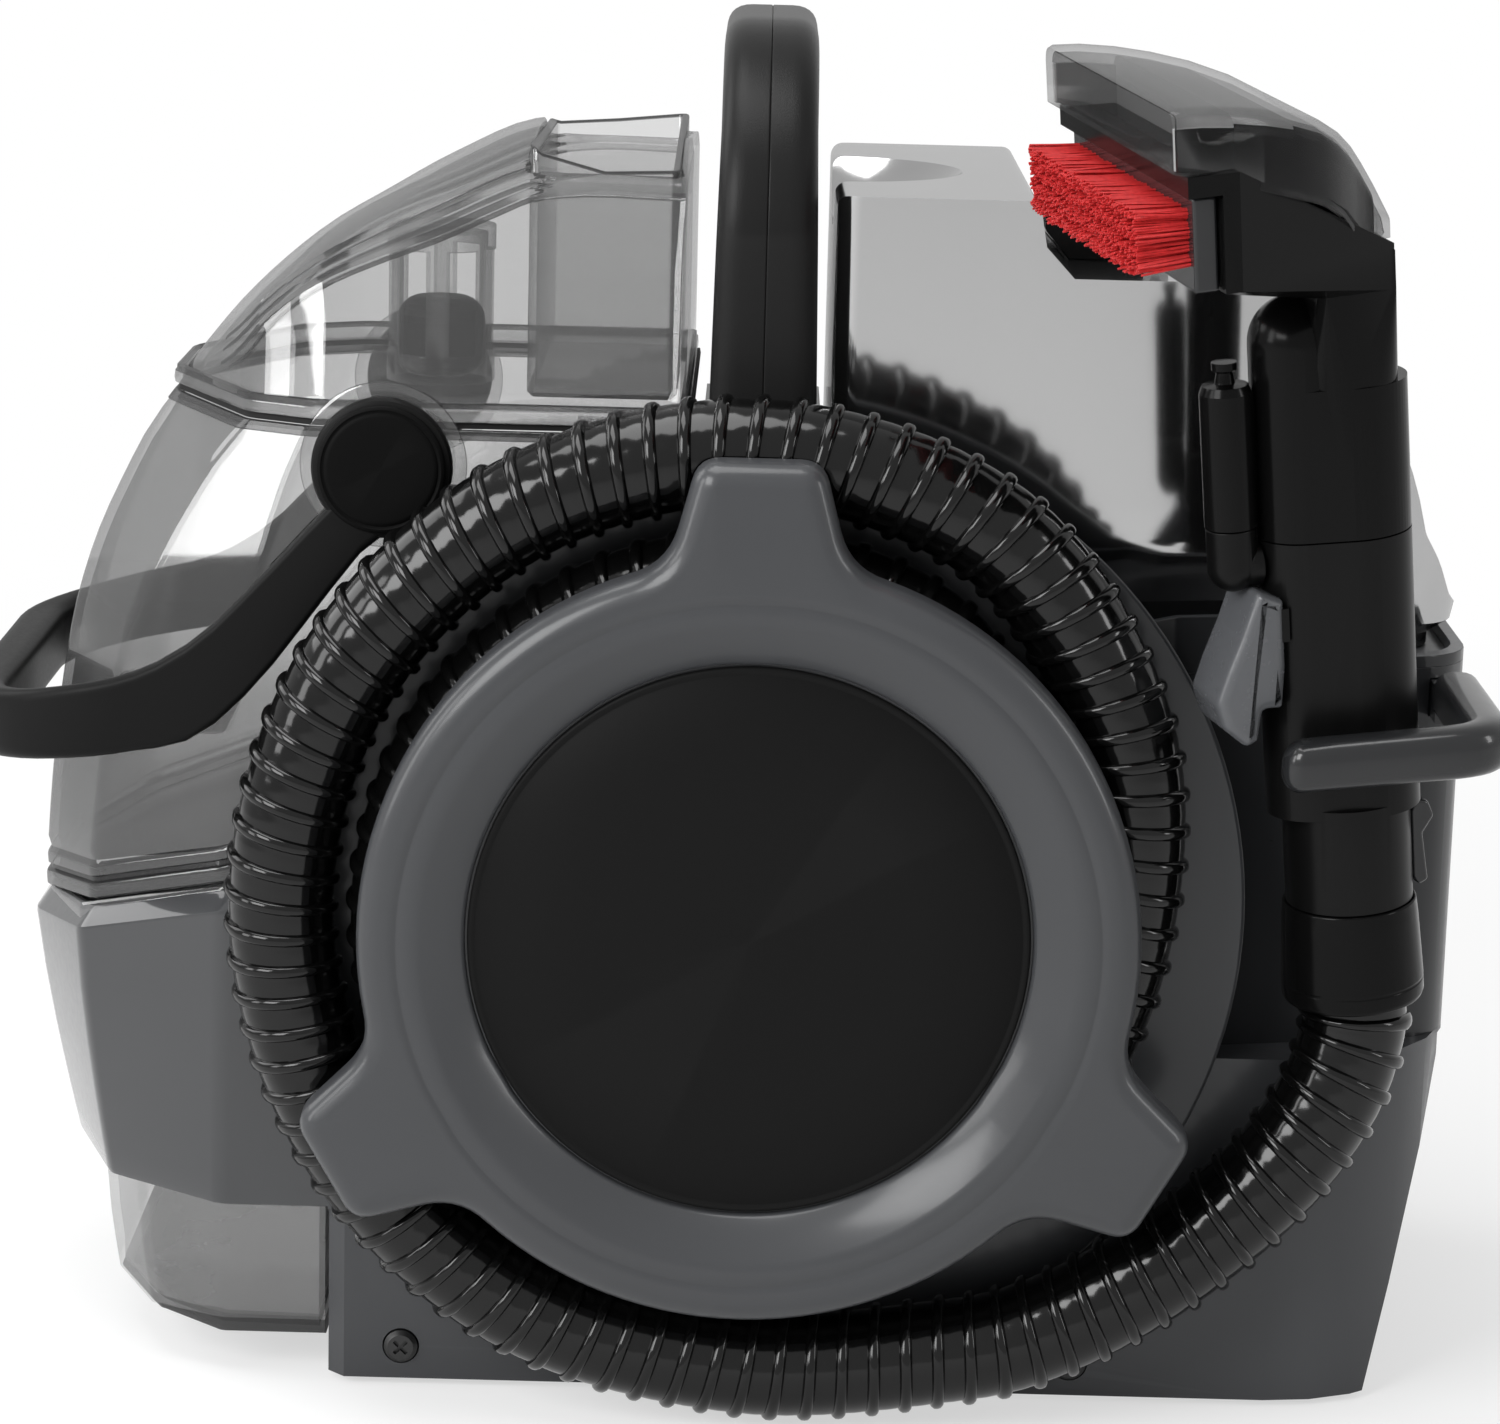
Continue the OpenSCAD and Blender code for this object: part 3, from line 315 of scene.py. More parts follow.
# mesh helpers
def finishPiece(piece, body, slot, stands=(), material=None, sharp=38):
    scene.collection.objects.link(piece)
    mesh = piece.data
    mesh.materials.append(material or finishes[slot])
    mesh.shade_smooth()
    mesh.set_sharp_from_angle(angle=radians(sharp))
    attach(piece, body)
    if stands:
        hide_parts(*stands)
    return piece


def meshPiece(name, shape, body, slot, stands=(), material=None, sharp=38, lines=None, second=None):
    mesh = bpy.data.meshes.new(name)
    mesh.from_pydata([tuple(v) for v in shape[0]], [], shape[1])
    work = bmesh.new()
    work.from_mesh(mesh)
    bmesh.ops.remove_doubles(work, verts=work.verts, dist=1e-6)
    bmesh.ops.recalc_face_normals(work, faces=work.faces)
    work.to_mesh(mesh)
    work.free()
    piece = finishPiece(bpy.data.objects.new(name, mesh), body, slot, stands, material, sharp)
    if lines:  # faces in a second finish: mostly painted shade, a darker clear finish on the edges and steps of a clear wall, where thick plastic looks dark
        mesh.materials.append(second or edgeShadeFinish)
        for face in mesh.polygons:
            c = face.center / mm
            face.material_index = int(lines(c.x, c.y - shiftY, c.z, face.normal))
    return piece


softLook = {"segments": 3, "bendFrom": 32, "sharp": 34, "flatWithin": 0.6, "weld": 2e-6}


def softened(node, width, material=None):  # the node's own form with its edges rounded off
    mesh = nodes[node].data.copy()
    work = bmesh.new()
    work.from_mesh(mesh)
    bmesh.ops.remove_doubles(work, verts=work.verts, dist=softLook["weld"])
    bmesh.ops.dissolve_limit(work, angle_limit=radians(softLook["flatWithin"]), verts=work.verts,
                             edges=work.edges)
    work.to_mesh(mesh)
    work.free()
    mesh.materials.clear()
    piece = bpy.data.objects.new(node + "_shell", mesh)
    finishPiece(piece, bodyOf[node], slotOf[node], [node], material, softLook["sharp"])
    bevel = piece.modifiers.new("rounded edges", "BEVEL")
    bevel.width, bevel.segments = width * mm, softLook["segments"]
    bevel.limit_method, bevel.angle_limit = "ANGLE", radians(softLook["bendFrom"])
    bevel.use_clamp_overlap = True
    weigh = piece.modifiers.new("even shading", "WEIGHTED_NORMAL")
    weigh.keep_sharp = True
    return piece


def loft(rings, closedRing=True, closedRow=False, capFirst=False, capLast=False):
    n = len(rings[0])
    verts = [p for ring in rings for p in ring]
    faces = []
    rows = len(rings) if closedRow else len(rings) - 1
    for i in range(rows):
        a, b = i * n, (i + 1) % len(rings) * n
        for j in range(n if closedRing else n - 1):
            k = (j + 1) % n
            faces.append((a + j, a + k, b + k, b + j))
    if capFirst:
        faces.append(tuple(range(n - 1, -1, -1)))
    if capLast:
        faces.append(tuple((len(rings) - 1) * n + j for j in range(n)))
    return verts, faces


def solid(rings):
    return loft(rings, capFirst=True, capLast=True)


def joined(shape, more):  # two shells in one mesh
    return shape[0] + more[0], shape[1] + [tuple(i + len(shape[0]) for i in f) for f in more[1]]


def between(low, value, high):
    return max(low, min(high, value))


def flatRing(points, z):
    return [at(p.x, p.y, z) for p in points]


def turned(profile, place, sides=64):  # profile: radius, height; place maps x, y, height
    rings = []
    for r, h in profile:
        rings.append([place(r * cos(2 * pi * k / sides), r * sin(2 * pi * k / sides), h)
                      for k in range(sides)])
    return loft(rings, capFirst=profile[0][0] > 0, capLast=profile[-1][0] > 0)


def ease(points, x):  # smooth curve through (x, value) points
    if x <= points[0][0]:
        return points[0][1]
    if x >= points[-1][0]:
        return points[-1][1]
    i = max(k for k in range(len(points) - 1) if points[k][0] <= x)
    x0, y0 = points[i]
    x1, y1 = points[i + 1]
    slope = lambda a, b: (b[1] - a[1]) / (b[0] - a[0])
    here = slope(points[i], points[i + 1])
    m0 = (slope(points[i - 1], points[i]) + here) / 2 if i > 0 else here
    m1 = (slope(points[i + 1], points[i + 2]) + here) / 2 if i + 2 < len(points) else here
    w, t = x1 - x0, (x - x0) / (x1 - x0)
    return (y0 * (2 * t ** 3 - 3 * t ** 2 + 1) + m0 * w * (t ** 3 - 2 * t ** 2 + t)
            + y1 * (3 * t ** 2 - 2 * t ** 3) + m1 * w * (t ** 3 - t ** 2))


def bow(a, b, c, steps):
    return [a * (1 - t) ** 2 + b * 2 * t * (1 - t) + c * t ** 2 for t in [k / steps for k in range(steps + 1)]]


def rounded(corners, steps=6):  # polygon of (x, y, radius) to a soft outline
    out = []
    n = len(corners)
    for i, (x, y, r) in enumerate(corners):
        q = Vector((x, y))
        if r <= 0:
            out.append(q)
            continue
        a = (Vector(corners[i - 1][:2]) - q).normalized()
        b = (Vector(corners[(i + 1) % n][:2]) - q).normalized()
        half = a.angle(b) / 2
        out += bow(q + a * r / tan(half), q, q + b * r / tan(half), steps)
    return out


def inset(outline, d, closed=True):  # outline moved to its left by d
    n = len(outline)
    out = []
    for i, p in enumerate(outline):
        before = outline[i - 1] if closed or i > 0 else p
        after = outline[(i + 1) % n] if closed or i < n - 1 else p
        way = (after - before).normalized()
        out.append(p + Vector((-way.y, way.x)) * d)
    return out


# hose: the route of the part, ribbed along its whole length
hubX, hubZ = 10.0, 127.0
hoseLook = {
    "y": -68.5, "wall": 12.6, "rib": 1.35, "bead": 1.5, "ribs": 188, "sides": 32, "fine": 2400, "perKnot": 10,
    "lead": [(154.4, -66.1, 137.3), (156.8, -64, 113.5), (157.6, -63.5, 104), (153, -65, 88), (142, -66, 70),
             (127, -66.5, 54), (108, -67.5, 39), (86, -68, 26.5)],
    "wound": [(-64, 119.3), (-90, 111.6), (-120, 111.3), (-150, 112), (-180, 113), (-210, 114), (-240, 115),
              (-270, 115), (-300, 112), (-330, 101), (-360, 89.5), (-390, 84.5), (-420, 82.5), (-450, 82), (-480, 82),
              (-510, 82.5), (-540, 83.5), (-570, 84), (-600, 84), (-630, 84), (-660, 82), (-690, 70), (-720, 59),
              (-750, 55), (-780, 53), (-810, 52.5), (-840, 52), (-870, 50), (-900, 45.5), (-921, 40.5)],
    "tail": [(-9, -68.5, 163), (0.5, -68.5, 172.5)]}


def hoseRoute(look):
    places = list(look["lead"])
    for degrees, radius in look["wound"]:
        a = radians(degrees)
        places.append((hubX + radius * cos(a), look["y"], hubZ + radius * sin(a)))
    knots = [Vector([v * mm for v in p]) + Vector((0, shiftY * mm, 0)) for p in places + look["tail"]]
    ends = [2 * knots[0] - knots[1]] + knots + [2 * knots[-1] - knots[-2]]
    route = []
    for a, b, c, d in zip(ends, ends[1:], ends[2:], ends[3:]):
        for k in range(look["perKnot"]):
            t = k / look["perKnot"]
            route.append(0.5 * (2 * b + (c - a) * t + (2 * a - 5 * b + 4 * c - d) * t * t
                                + (3 * b - a - 3 * c + d) * t ** 3))
    route.append(knots[-1])
    return route[::-1]  # from the port to the wand


def walk(route, count):
    steps = [(b - a).length for a, b in zip(route, route[1:])]
    total = sum(steps)
    out, i, passed = [], 0, 0.0
    for k in range(count + 1):
        s = total * k / count
        while i < len(steps) - 1 and passed + steps[i] < s:
            passed += steps[i]
            i += 1
        out.append(route[i].lerp(route[i + 1], min(1, (s - passed) / steps[i])))
    return out, total


def makeHose(look):
    fine = look["fine"]
    path, total = walk(hoseRoute(look), fine)
    pitch = total / look["ribs"]
    bead = look["bead"] * mm
    profile = [(-0.5 * pitch, 0.08), (-0.36 * pitch, 0.05), (-1.25 * bead, 0.0), (-1.05 * bead, 0.0)]
    profile += [(bead * t, look["rib"] * (1 - abs(t) ** 2.6) ** 0.5)
                for t in (-0.98, -0.85, -0.5, 0, 0.5, 0.85, 0.98)]
    profile += [(1.05 * bead, 0.0), (1.25 * bead, 0.0), (0.36 * pitch, 0.05)]
    rows = [(pitch * (k + 0.5) + s, look["wall"] + rise) for k in range(-1, look["ribs"]) for s, rise in profile]

    def frameAt(s):
        i = between(0, s / total * fine, fine)
        k = min(int(i), fine - 1)
        along = (path[min(k + 8, fine)] - path[max(k - 8, 0)]).normalized()
        b = along.cross(Vector((0, 1, 0))).normalized()
        return path[k].lerp(path[k + 1], i - k), b, b.cross(along)

    rings = []
    for place, r in rows:  # each row runs round as a helix, a pitch on with each turn
        ring = []
        for k in range(look["sides"] + 1):
            turn = k / look["sides"]
            c, b, n = frameAt(place + turn * pitch)
            ring.append(c + (b * cos(2 * pi * turn) + n * sin(2 * pi * turn)) * r * mm)
        rings.append(ring)
    hose = meshPiece("ribbed_hose", loft(rings, closedRing=False), "base", "hose_black", ["hose"], sharp=60)
    return total


print("hose:", round(makeHose(hoseLook), 3), "m")


# ring cover and disc on the hub
ringLook = {
    "radius": 93.0, "reach": 116.0, "rootHalf": 22.8, "tipHalf": 14.6, "rootAt": 85.0, "fillet": 9.0, "tipRound": 5.5,
    "back": 83.1, "front": 94.0, "bevel": 4.6, "lobes": (-30, 90, 210),
    "edge": [(0.3, 3.4), (1.1, 2.1), (2.3, 1.1), (3.9, 0.35), (5.4, 0)],
    "face": [(86.0, 0), (84.2, 0), (83.7, 0.35), (83.1, 0.35), (82.6, 0.1), (79.0, 0.5), (77.4, 1.1), (71.5, 5.0),
             (68.6, 7.2), (67.8, 8.0), (67.5, 9.2), (60, 9.25), (12, 9.25), (12, 10.9)],
    "disc": [(0.01, 84.9), (67.0, 84.9), (67.0, 85.9), (66.6, 86.4), (65.8, 86.5), (65.3, 86.2), (64.9, 86.2),
             (64.5, 86.55), (40, 86.6), (0.01, 86.6)]}


def onHub(x, y, h):
    return at(hubX + x, -h, hubZ + y)


def ringOutline(look):
    flank = Vector((look["reach"] - look["rootAt"], look["tipHalf"] - look["rootHalf"]))
    start = Vector((look["rootAt"], look["rootHalf"]))
    t = next(k / 500 for k in range(500) if (start + flank * k / 500).length >= look["radius"])
    root, tip = start + flank * t, Vector((look["reach"], look["tipHalf"]))
    spread = atan2(root.y, root.x) + look["fillet"] / look["radius"]
    foot = Vector((cos(spread), sin(spread))) * look["radius"]
    side = bow(foot, root, root + flank.normalized() * look["fillet"], 7)
    shoulder = bow(tip - flank.normalized() * look["tipRound"], tip, tip + Vector((0, -look["tipRound"])), 6)
    upper = side + shoulder  # from the ring out to the tip, on the left flank
    lobe = [Vector((p.x, -p.y)) for p in upper] + upper[::-1]
    out = []
    for degrees in look["lobes"]:
        a = radians(degrees)
        spin = Matrix.Rotation(a, 2)
        out += [spin @ p for p in lobe]
        sweep = radians(120) - 2 * spread
        for k in range(1, 28):
            b = a + spread + sweep * k / 28
            out.append(Vector((cos(b), sin(b))) * look["radius"])
    return out


def makeRing(look):
    outline = ringOutline(look)
    front = look["front"]

    def level(points, h):
        return [onHub(p.x, p.y, h) for p in points]

    rings = [level(outline, look["back"]), level(outline, front - look["bevel"])]
    rings += [level(inset(outline, d), front - drop) for d, drop in look["edge"]]
    rings += [level([p.normalized() * r for p in outline], front - drop) for r, drop in look["face"]]
    meshPiece("ring_face", loft(rings, closedRow=True), "base", "grey_housing", ["ring_cover"], sharp=50)
    disc = turned(look["disc"], onHub, 128)
    meshPiece("hub_disc", disc, "base", "black_matte", ["ring_disc"], discFinish, sharp=50)


makeRing(ringLook)
print("ring cover made")


# recovery tank: bucket with sump, walls lofted from soft outlines
pivotX, pivotZ = -81.0, 233.0  # the bail's axis
tankLook = {
    "y0": -46.0, "y1": 99.0, "rear": -8.5, "wall": 2.4, "sumpRear": -94.0, "widest": -171.0, "topFront": -138.0,
    "front": [(128, -171.3), (139, -171), (171, -167), (194, -161.6), (207, -157.2), (220, -151.3), (233, -144.5),
              (242, -138)],
    "facets": [(27, 162.0, 0.94), (61, 121.5, 0.32)],
    "foot": [(128.4, -2.0), (128.6, -0.6), (129.2, 0.0), (132.0, 0.2), (132.6, 0.0), (133.0, -1.0), (134.0, -1.2),
             (134.6, -0.2), (136.4, 0.0), (137.0, -0.2), (137.8, -0.9)],
    "rim": [(237, 0.0), (239.3, 0.0), (239.6, 0.5), (241.6, 0.5), (242, 0.2)], "lipFrom": -117.0, "lipSlope": 16.5,
    "sumpFront": [(10, -150), (30, -153.5), (46, -155), (106, -167.5), (112, -170), (129, -170.5)],
    "sumpNose": -152.0, "sumpWallEnd": -119.8, "sumpCheek": (12.4, -36.0, 0.6), "sumpTip": (-8.0, 0.86),
    "keel": [(10.0, -6), (10.2, -3.4), (11.0, -1.4), (12.6, -0.3), (15, 0), (22, 0)], "keelRise": 2.6, "keelTop": 14,
    "keelTo": -121, "rimLine": 239, "footLine": (132.5, 134.3), "keelLine": (10.05, 14.5),
    "seal": [(0, 242.1), (0.3, 243.4), (1.4, 243.4), (1.7, 242.1)],
    "boss": [(11, 0.1), (11, -1.3), (19.2, -1.3), (20.0, -0.9), (20.2, -0.2), (20.0, 0.3), (11, 0.3)]}
tankMid = (tankLook["y0"] + tankLook["y1"]) / 2
lipSlope = tan(radians(tankLook["lipSlope"]))


def lipDrop(x):  # the tank's foot and the collar's lip fall towards the nose
    return min(0, (x - tankLook["lipFrom"]) * lipSlope)


def mirrored(half):  # near corners, then the same on the far side
    return rounded(half + [(x, 2 * tankMid - y, r) for x, y, r in half[::-1]])


def tankOutline(look, front, out):
    y0 = look["y0"] - out
    (a, ra), (b, rb) = [(radians(turn), reach + out - share * (front - look["widest"]))
                        for turn, reach, share in look["facets"]]
    wallEnd = (-rb - sin(b) * (y0 - tankMid)) / cos(b)
    cross = sin(b - a)
    cornerX = (rb * sin(a) - ra * sin(b)) / cross
    cornerY = tankMid + (ra * cos(b) - rb * cos(a)) / cross
    tipY = tankMid - (ra + cos(a) * (front - out)) / sin(a)
    return mirrored([(look["rear"], y0, 0), (wallEnd, y0, 9), (cornerX, cornerY, 8), (front - out, tipY, 9)])


def sumpOutline(look, front, out):
    y0, step = look["y0"] - out, look["sumpNose"] - front
    cheekX, cheekY, cheekGrow = look["sumpCheek"]
    tipY, tipGrow = look["sumpTip"]
    return mirrored([(look["sumpRear"], y0, 0), (look["sumpWallEnd"], y0, 4),
                     (front + cheekX - out, cheekY + step * cheekGrow - out * 0.5, 3.5),
                     (front - out, tipY + step * tipGrow, 8)])


def thickened(piece, wall):
    thick = piece.modifiers.new("wall", "SOLIDIFY")
    thick.thickness, thick.offset = wall * mm, -1


def makeBucket(look):
    def sunk(x, z, fade):
        return z + lipDrop(x) * between(0, fade, 1)

    # the rim and the foot's step take the darker edge finish as painted shade
    def onEdge(x, y, z, way):
        low, high = look["footLine"]
        return z > look["rimLine"] or low < z - lipDrop(x) < high

    rings = []
    for z, out in look["foot"] + [(z, 0.0) for z in range(140, 236, 6)] + look["rim"]:
        ring = tankOutline(look, ease(look["front"], z), out)
        rings.append([at(p.x, p.y, sunk(p.x, z, (185 - z) / 50)) for p in ring])
    bucket = meshPiece("recovery_bucket", loft(rings, capFirst=True), "recovery_tank", "clear_tank", ["tank_bucket"],
                       bucketFinish, sharp=28, lines=onEdge)
    thickened(bucket, look["wall"])
    rings = []
    for z, out in look["keel"] + [(z, 0) for z in range(30, 128, 8)] + [(128.2, 0)]:
        ring = sumpOutline(look, ease(look["sumpFront"], z), out)
        step = look["keelRise"] if z < look["keelTop"] else 0  # the keel steps up to the nose
        rings.append([at(p.x, p.y, sunk(p.x, z, (z - 60) / 60) + (step if p.x < look["keelTo"] else 0))
                      for p in ring])
    # the keel's step takes the darker edge finish as painted shade
    sump = meshPiece("recovery_sump", loft(rings, capFirst=True), "recovery_tank", "clear_tank", material=sumpFinish,
                     sharp=28, lines=lambda x, y, z, way: look["keelLine"][0] < z < look["keelLine"][1])
    thickened(sump, look["wall"])
    outline = tankOutline(look, look["topFront"], -2.0)
    rings = [flatRing(inset(outline, d), z) for d, z in look["seal"]]
    meshPiece("tank_seal", loft(rings, closedRow=True), "recovery_tank", "rubber", ["tank_gasket"], sharp=40)
    for name, side, wall in (("pivot_boss_near", -1, look["y0"]), ("pivot_boss_far", 1, look["y1"])):
        boss = turned(look["boss"], lambda x, y, h: at(pivotX + x, wall - side * h, pivotZ + y))
        meshPiece(name, boss, "recovery_tank", "clear_tank", sharp=40)


makeBucket(tankLook)


# lid: bowed crown with three ridges on each shoulder, open at the spout
lidLook = {
    "seam": 243.9, "wall": 2.2, "lean": 0.2, "fullness": 2.4, "mouthX": -48.0, "mouthEnd": -11.1, "mouthHalf": 51.2,
    "crown": [(-136.4, 246.5), (-133, 251), (-122, 264.3), (-104.5, 280), (-87, 291), (-70, 301), (-48, 310),
              (-38, 307.6), (-8.5, 307)],
    "shoulder": [(-136.4, 245.4), (-130, 248.5), (-119, 255.5), (-110, 266), (-98.5, 275), (-84.6, 281.5), (-70, 287),
                 (-57, 293), (-45, 298), (-8.5, 299)],
    "half": [(-136.4, 17.5), (-131, 30.5), (-123, 48.5), (-115, 62.2), (-106, 68.2), (-98, 72.0), (-90, 72.5),
             (-8.5, 72.5)],
    "nose": [-136.4, -135.6, -134.4, -132.5, -130, -127, -123.5, -120, -116.5, -113, -109, -105],
    "mouth": [-44, -40, -34, -28, -22, -16, -11.1, -8.5],
    "ridges": (0.975, 0.86, 0.745), "ridgeHigh": 1.1, "ridgeHalf": 0.022, "ridgeEnds": (-126, -44),
    "bead": [(0.0, 243.6), (0.7, 243.8), (0.9, 245.0), (0.7, 246.6), (0.3, 246.9), (0.2, 248.0), (-0.9, 248.4),
             (-1.8, 247.8), (-1.8, 243.6)]}


def lidSection(look, x):  # half width at the seam, at the shoulder, and its height there
    half, shoulder = ease(look["half"], x), ease(look["shoulder"], x)
    return half, half - look["lean"] * (shoulder - look["seam"]), shoulder


def lidTop(look, x, u):  # height over the middle, u runs 0 to 1 out to the shoulder
    crown, shoulder = ease(look["crown"], x), ease(look["shoulder"], x)
    bead = sum(max(0, 1 - abs(u - c) / look["ridgeHalf"]) for c in look["ridges"])
    start, end = look["ridgeEnds"]
    fade = between(0, (x - start) / 12, 1) * between(0, (end - x) / 4, 1)
    return crown - (crown - shoulder) * u ** look["fullness"] + look["ridgeHigh"] * bead * fade


def makeLid(look):
    lines = [k / 12 for k in range(13)] + [look["mouthHalf"] / 62.0]
    lines += [c + look["ridgeHalf"] * t for c in look["ridges"] for t in (-1, -0.5, 0, 0.5, 1)]
    lines = sorted(set(round(v, 4) for v in lines if v <= 1))
    rings = []
    for x in look["nose"] + list(range(-100, -48, 5)) + [look["mouthX"]] + look["mouth"]:
        half, top, shoulder = lidSection(look, x)
        near = [(half + (top - half) * t / 6, look["seam"] + (shoulder - look["seam"]) * t / 6) for t in range(6)]
        near += [(top * u, lidTop(look, x, u)) for u in lines[::-1]]
        rings.append([at(x, tankMid - y, z) for y, z in near] + [at(x, tankMid + y, z) for y, z in near[-2::-1]])
    verts, faces = loft(rings, closedRing=False, capLast=True, capFirst=True)

    def inMouth(face):
        middle = sum((Vector(verts[i]) for i in face), Vector()) / len(face) / mm
        return (look["mouthX"] < middle.x < look["mouthEnd"] and middle.z > 290
                and abs(middle.y - shiftY - tankMid) < look["mouthHalf"])

    faces = [f for f in faces if len(f) > 4 or not inMouth(f)]

    def onRidge(x, y, z, way):  # outer flank of each ridge, in the darker edge finish: painted shade under the crest
        half, top, shoulder = lidSection(look, x)
        u = abs(y - tankMid) / top
        return -125 < x < -44 and z > shoulder - 0.5 and any(0 < u - c < look["ridgeHalf"] for c in look["ridges"])

    lid = meshPiece("recovery_lid", (verts, faces), "lid", "clear_tank", ["tank_lid"], sharp=24, lines=onRidge)
    thickened(lid, look["wall"])
    outline = tankOutline(tankLook, tankLook["topFront"], -0.2)
    rings = [flatRing(inset(outline, d), z) for d, z in look["bead"]]
    # the bead's crown takes the darker edge finish as painted shade along the seam
    meshPiece("lid_rim", loft(rings, closedRow=True), "lid", "clear_tank", sharp=30,
              lines=lambda x, y, z, way: 246.7 < z < 248.3)


makeLid(lidLook)


# open pour spout: deep clear box with a scooped rim
spoutLook = {
    "x0": -48.0, "x1": -11.2, "y0": -24.5, "y1": 77.5, "floor": 247.0, "wall": 2.0, "corner": 3.0, "soft": 1.2,
    "nearRim": [(-48, 309), (-44, 306), (-40, 304.3), (-31, 302.6), (-11, 303.2)],
    "farRim": [(-48, 306.5), (-45, 305.6), (-30, 306.7), (-11, 308.6)],
    "lip": [(0, 0.7), (0.15, 0.2), (0.5, 0), (1.5, 0), (1.85, 0.2), (2.0, 0.7)]}


def makeSpout(look):
    floor, wall, soft = look["floor"], look["wall"], look["soft"]

    def rim(p):
        t = (p.y - look["y0"]) / (look["y1"] - look["y0"])
        return ease(look["nearRim"], p.x) * (1 - t) + ease(look["farRim"], p.x) * t

    def level(d, share, lift=0.0):  # share: 0 at the floor, 1 at the rim
        a, b, c, e = look["x0"] + d, look["x1"] - d, look["y0"] + d, look["y1"] - d
        corners = [(a, c), ((a + b) / 2, c), (b, c), (b, e), ((a + b) / 2, e), (a, e)]
        outline = rounded([(x, y, max(0.6, look["corner"] - d)) for x, y in corners], 5)
        return [at(p.x, p.y, floor + (rim(p) - floor) * share + lift) for p in outline]

    rings = [level(soft, 0), level(0, 0, soft), level(0, 0.35), level(0, 0.7)]
    rings += [level(d, 1, -drop) for d, drop in look["lip"]]
    rings += [level(wall, 0.7), level(wall, 0.35), level(wall, 0, wall)]

    # the rim, the floor's edge and the rear corners take the darker edge finish as painted shade
    def onEdge(x, y, z, way):
        corner = y < look["y0"] + 2.6 or y > look["y1"] - 2.6
        return z > rim(Vector((x, y))) - 0.8 or z < floor + 1.3 or corner and x > look["x1"] - 2.2

    meshPiece("pour_mouth", solid(rings), "lid", "clear_tank", ["lid_spout"], sharp=30, lines=onEdge)


makeSpout(spoutLook)
print("recovery tank made")


# carry handle: two lofted half shells with a seam
handleLook = {
    "near": -50.0, "far": 103.0, "foot": 200.2, "top": 339.0, "bend": 52.0, "gapNear": -29.5, "gapFar": 82.5,
    "gapTop": 312.0, "gapBend": 26.0, "footHalf": 13.9, "topHalf": 11.6, "round": 6.5, "middle": 10.0}


def archPoints(near, far, foot, top, bend):
    legs, arc, flat = 10, 14, 8  # steps along each
    half = [Vector((near, foot + (top - bend - foot) * k / legs)) for k in range(legs)]
    for k in range(arc + 1):
        a = pi - pi / 2 * k / arc
        half.append(Vector((near + bend + bend * cos(a), top - bend + bend * sin(a))))
    level = [Vector((near + bend + (far - near - 2 * bend) * k / flat, top)) for k in range(1, flat)]
    return half + level + [Vector((near + far - p.x, p.y)) for p in half[::-1]]


def makeHandle(look):
    outer = archPoints(look["near"], look["far"], look["foot"], look["top"], look["bend"])
    inner = archPoints(look["gapNear"], look["gapFar"], look["foot"], look["gapTop"], look["gapBend"])
    r = look["round"]
    for side, node in ((-1, "handle_left"), (1, "handle_right")):
        rings = []
        for o, i in zip(outer, inner):
            depth, way = (i - o).length, (i - o).normalized()
            share = between(0, (o.y - look["foot"]) / (look["top"] - look["foot"] - 20), 1)
            half = look["footHalf"] + (look["topHalf"] - look["footHalf"]) * share
            ring = []
            for c in rounded([(0, 0, 0.5), (half, 0, r), (half, depth, r * 0.8), (0, depth, 0.5)], 7):
                p = o + way * c.y
                ring.append(at(look["middle"] + side * c.x, p.x, p.y))
            rings.append(ring)
        meshPiece(node + "_shell", solid(rings), "base", "black_matte", [node], handleFinish, sharp=42)


makeHandle(handleLook)
print("handle made")


# collar: tapered shroud with a bright chamfered lip
collarLook = {
    "y0": -51.0, "y1": 104.0, "rear": -90.5, "low": 46.0, "high": 127.0, "front": -175.0, "sideEnd": -120.0,
    "cheek": -158.0, "cheekIn": 22.0, "noseHalf": 18.0, "taper": 11.5, "taperTop": 108.0, "taperPower": 1.3,
    "taperFrom": -125.0, "taperOver": 50.0, "wall": 3.0, "wallFoot": 14.0,
    "foot": [(3.0, 0), (1.6, 0), (0.5, 0.5), (0, 1.8), (0, 8), (0, 14), (0, 24)],
    "lip": [(0, 34), (0, 20), (0, 5.2), (0.2, 4.2), (3.6, 0.6), (4.2, 0.2), (4.8, 0.3), (5.2, 1.4), (4.6, 8)]}


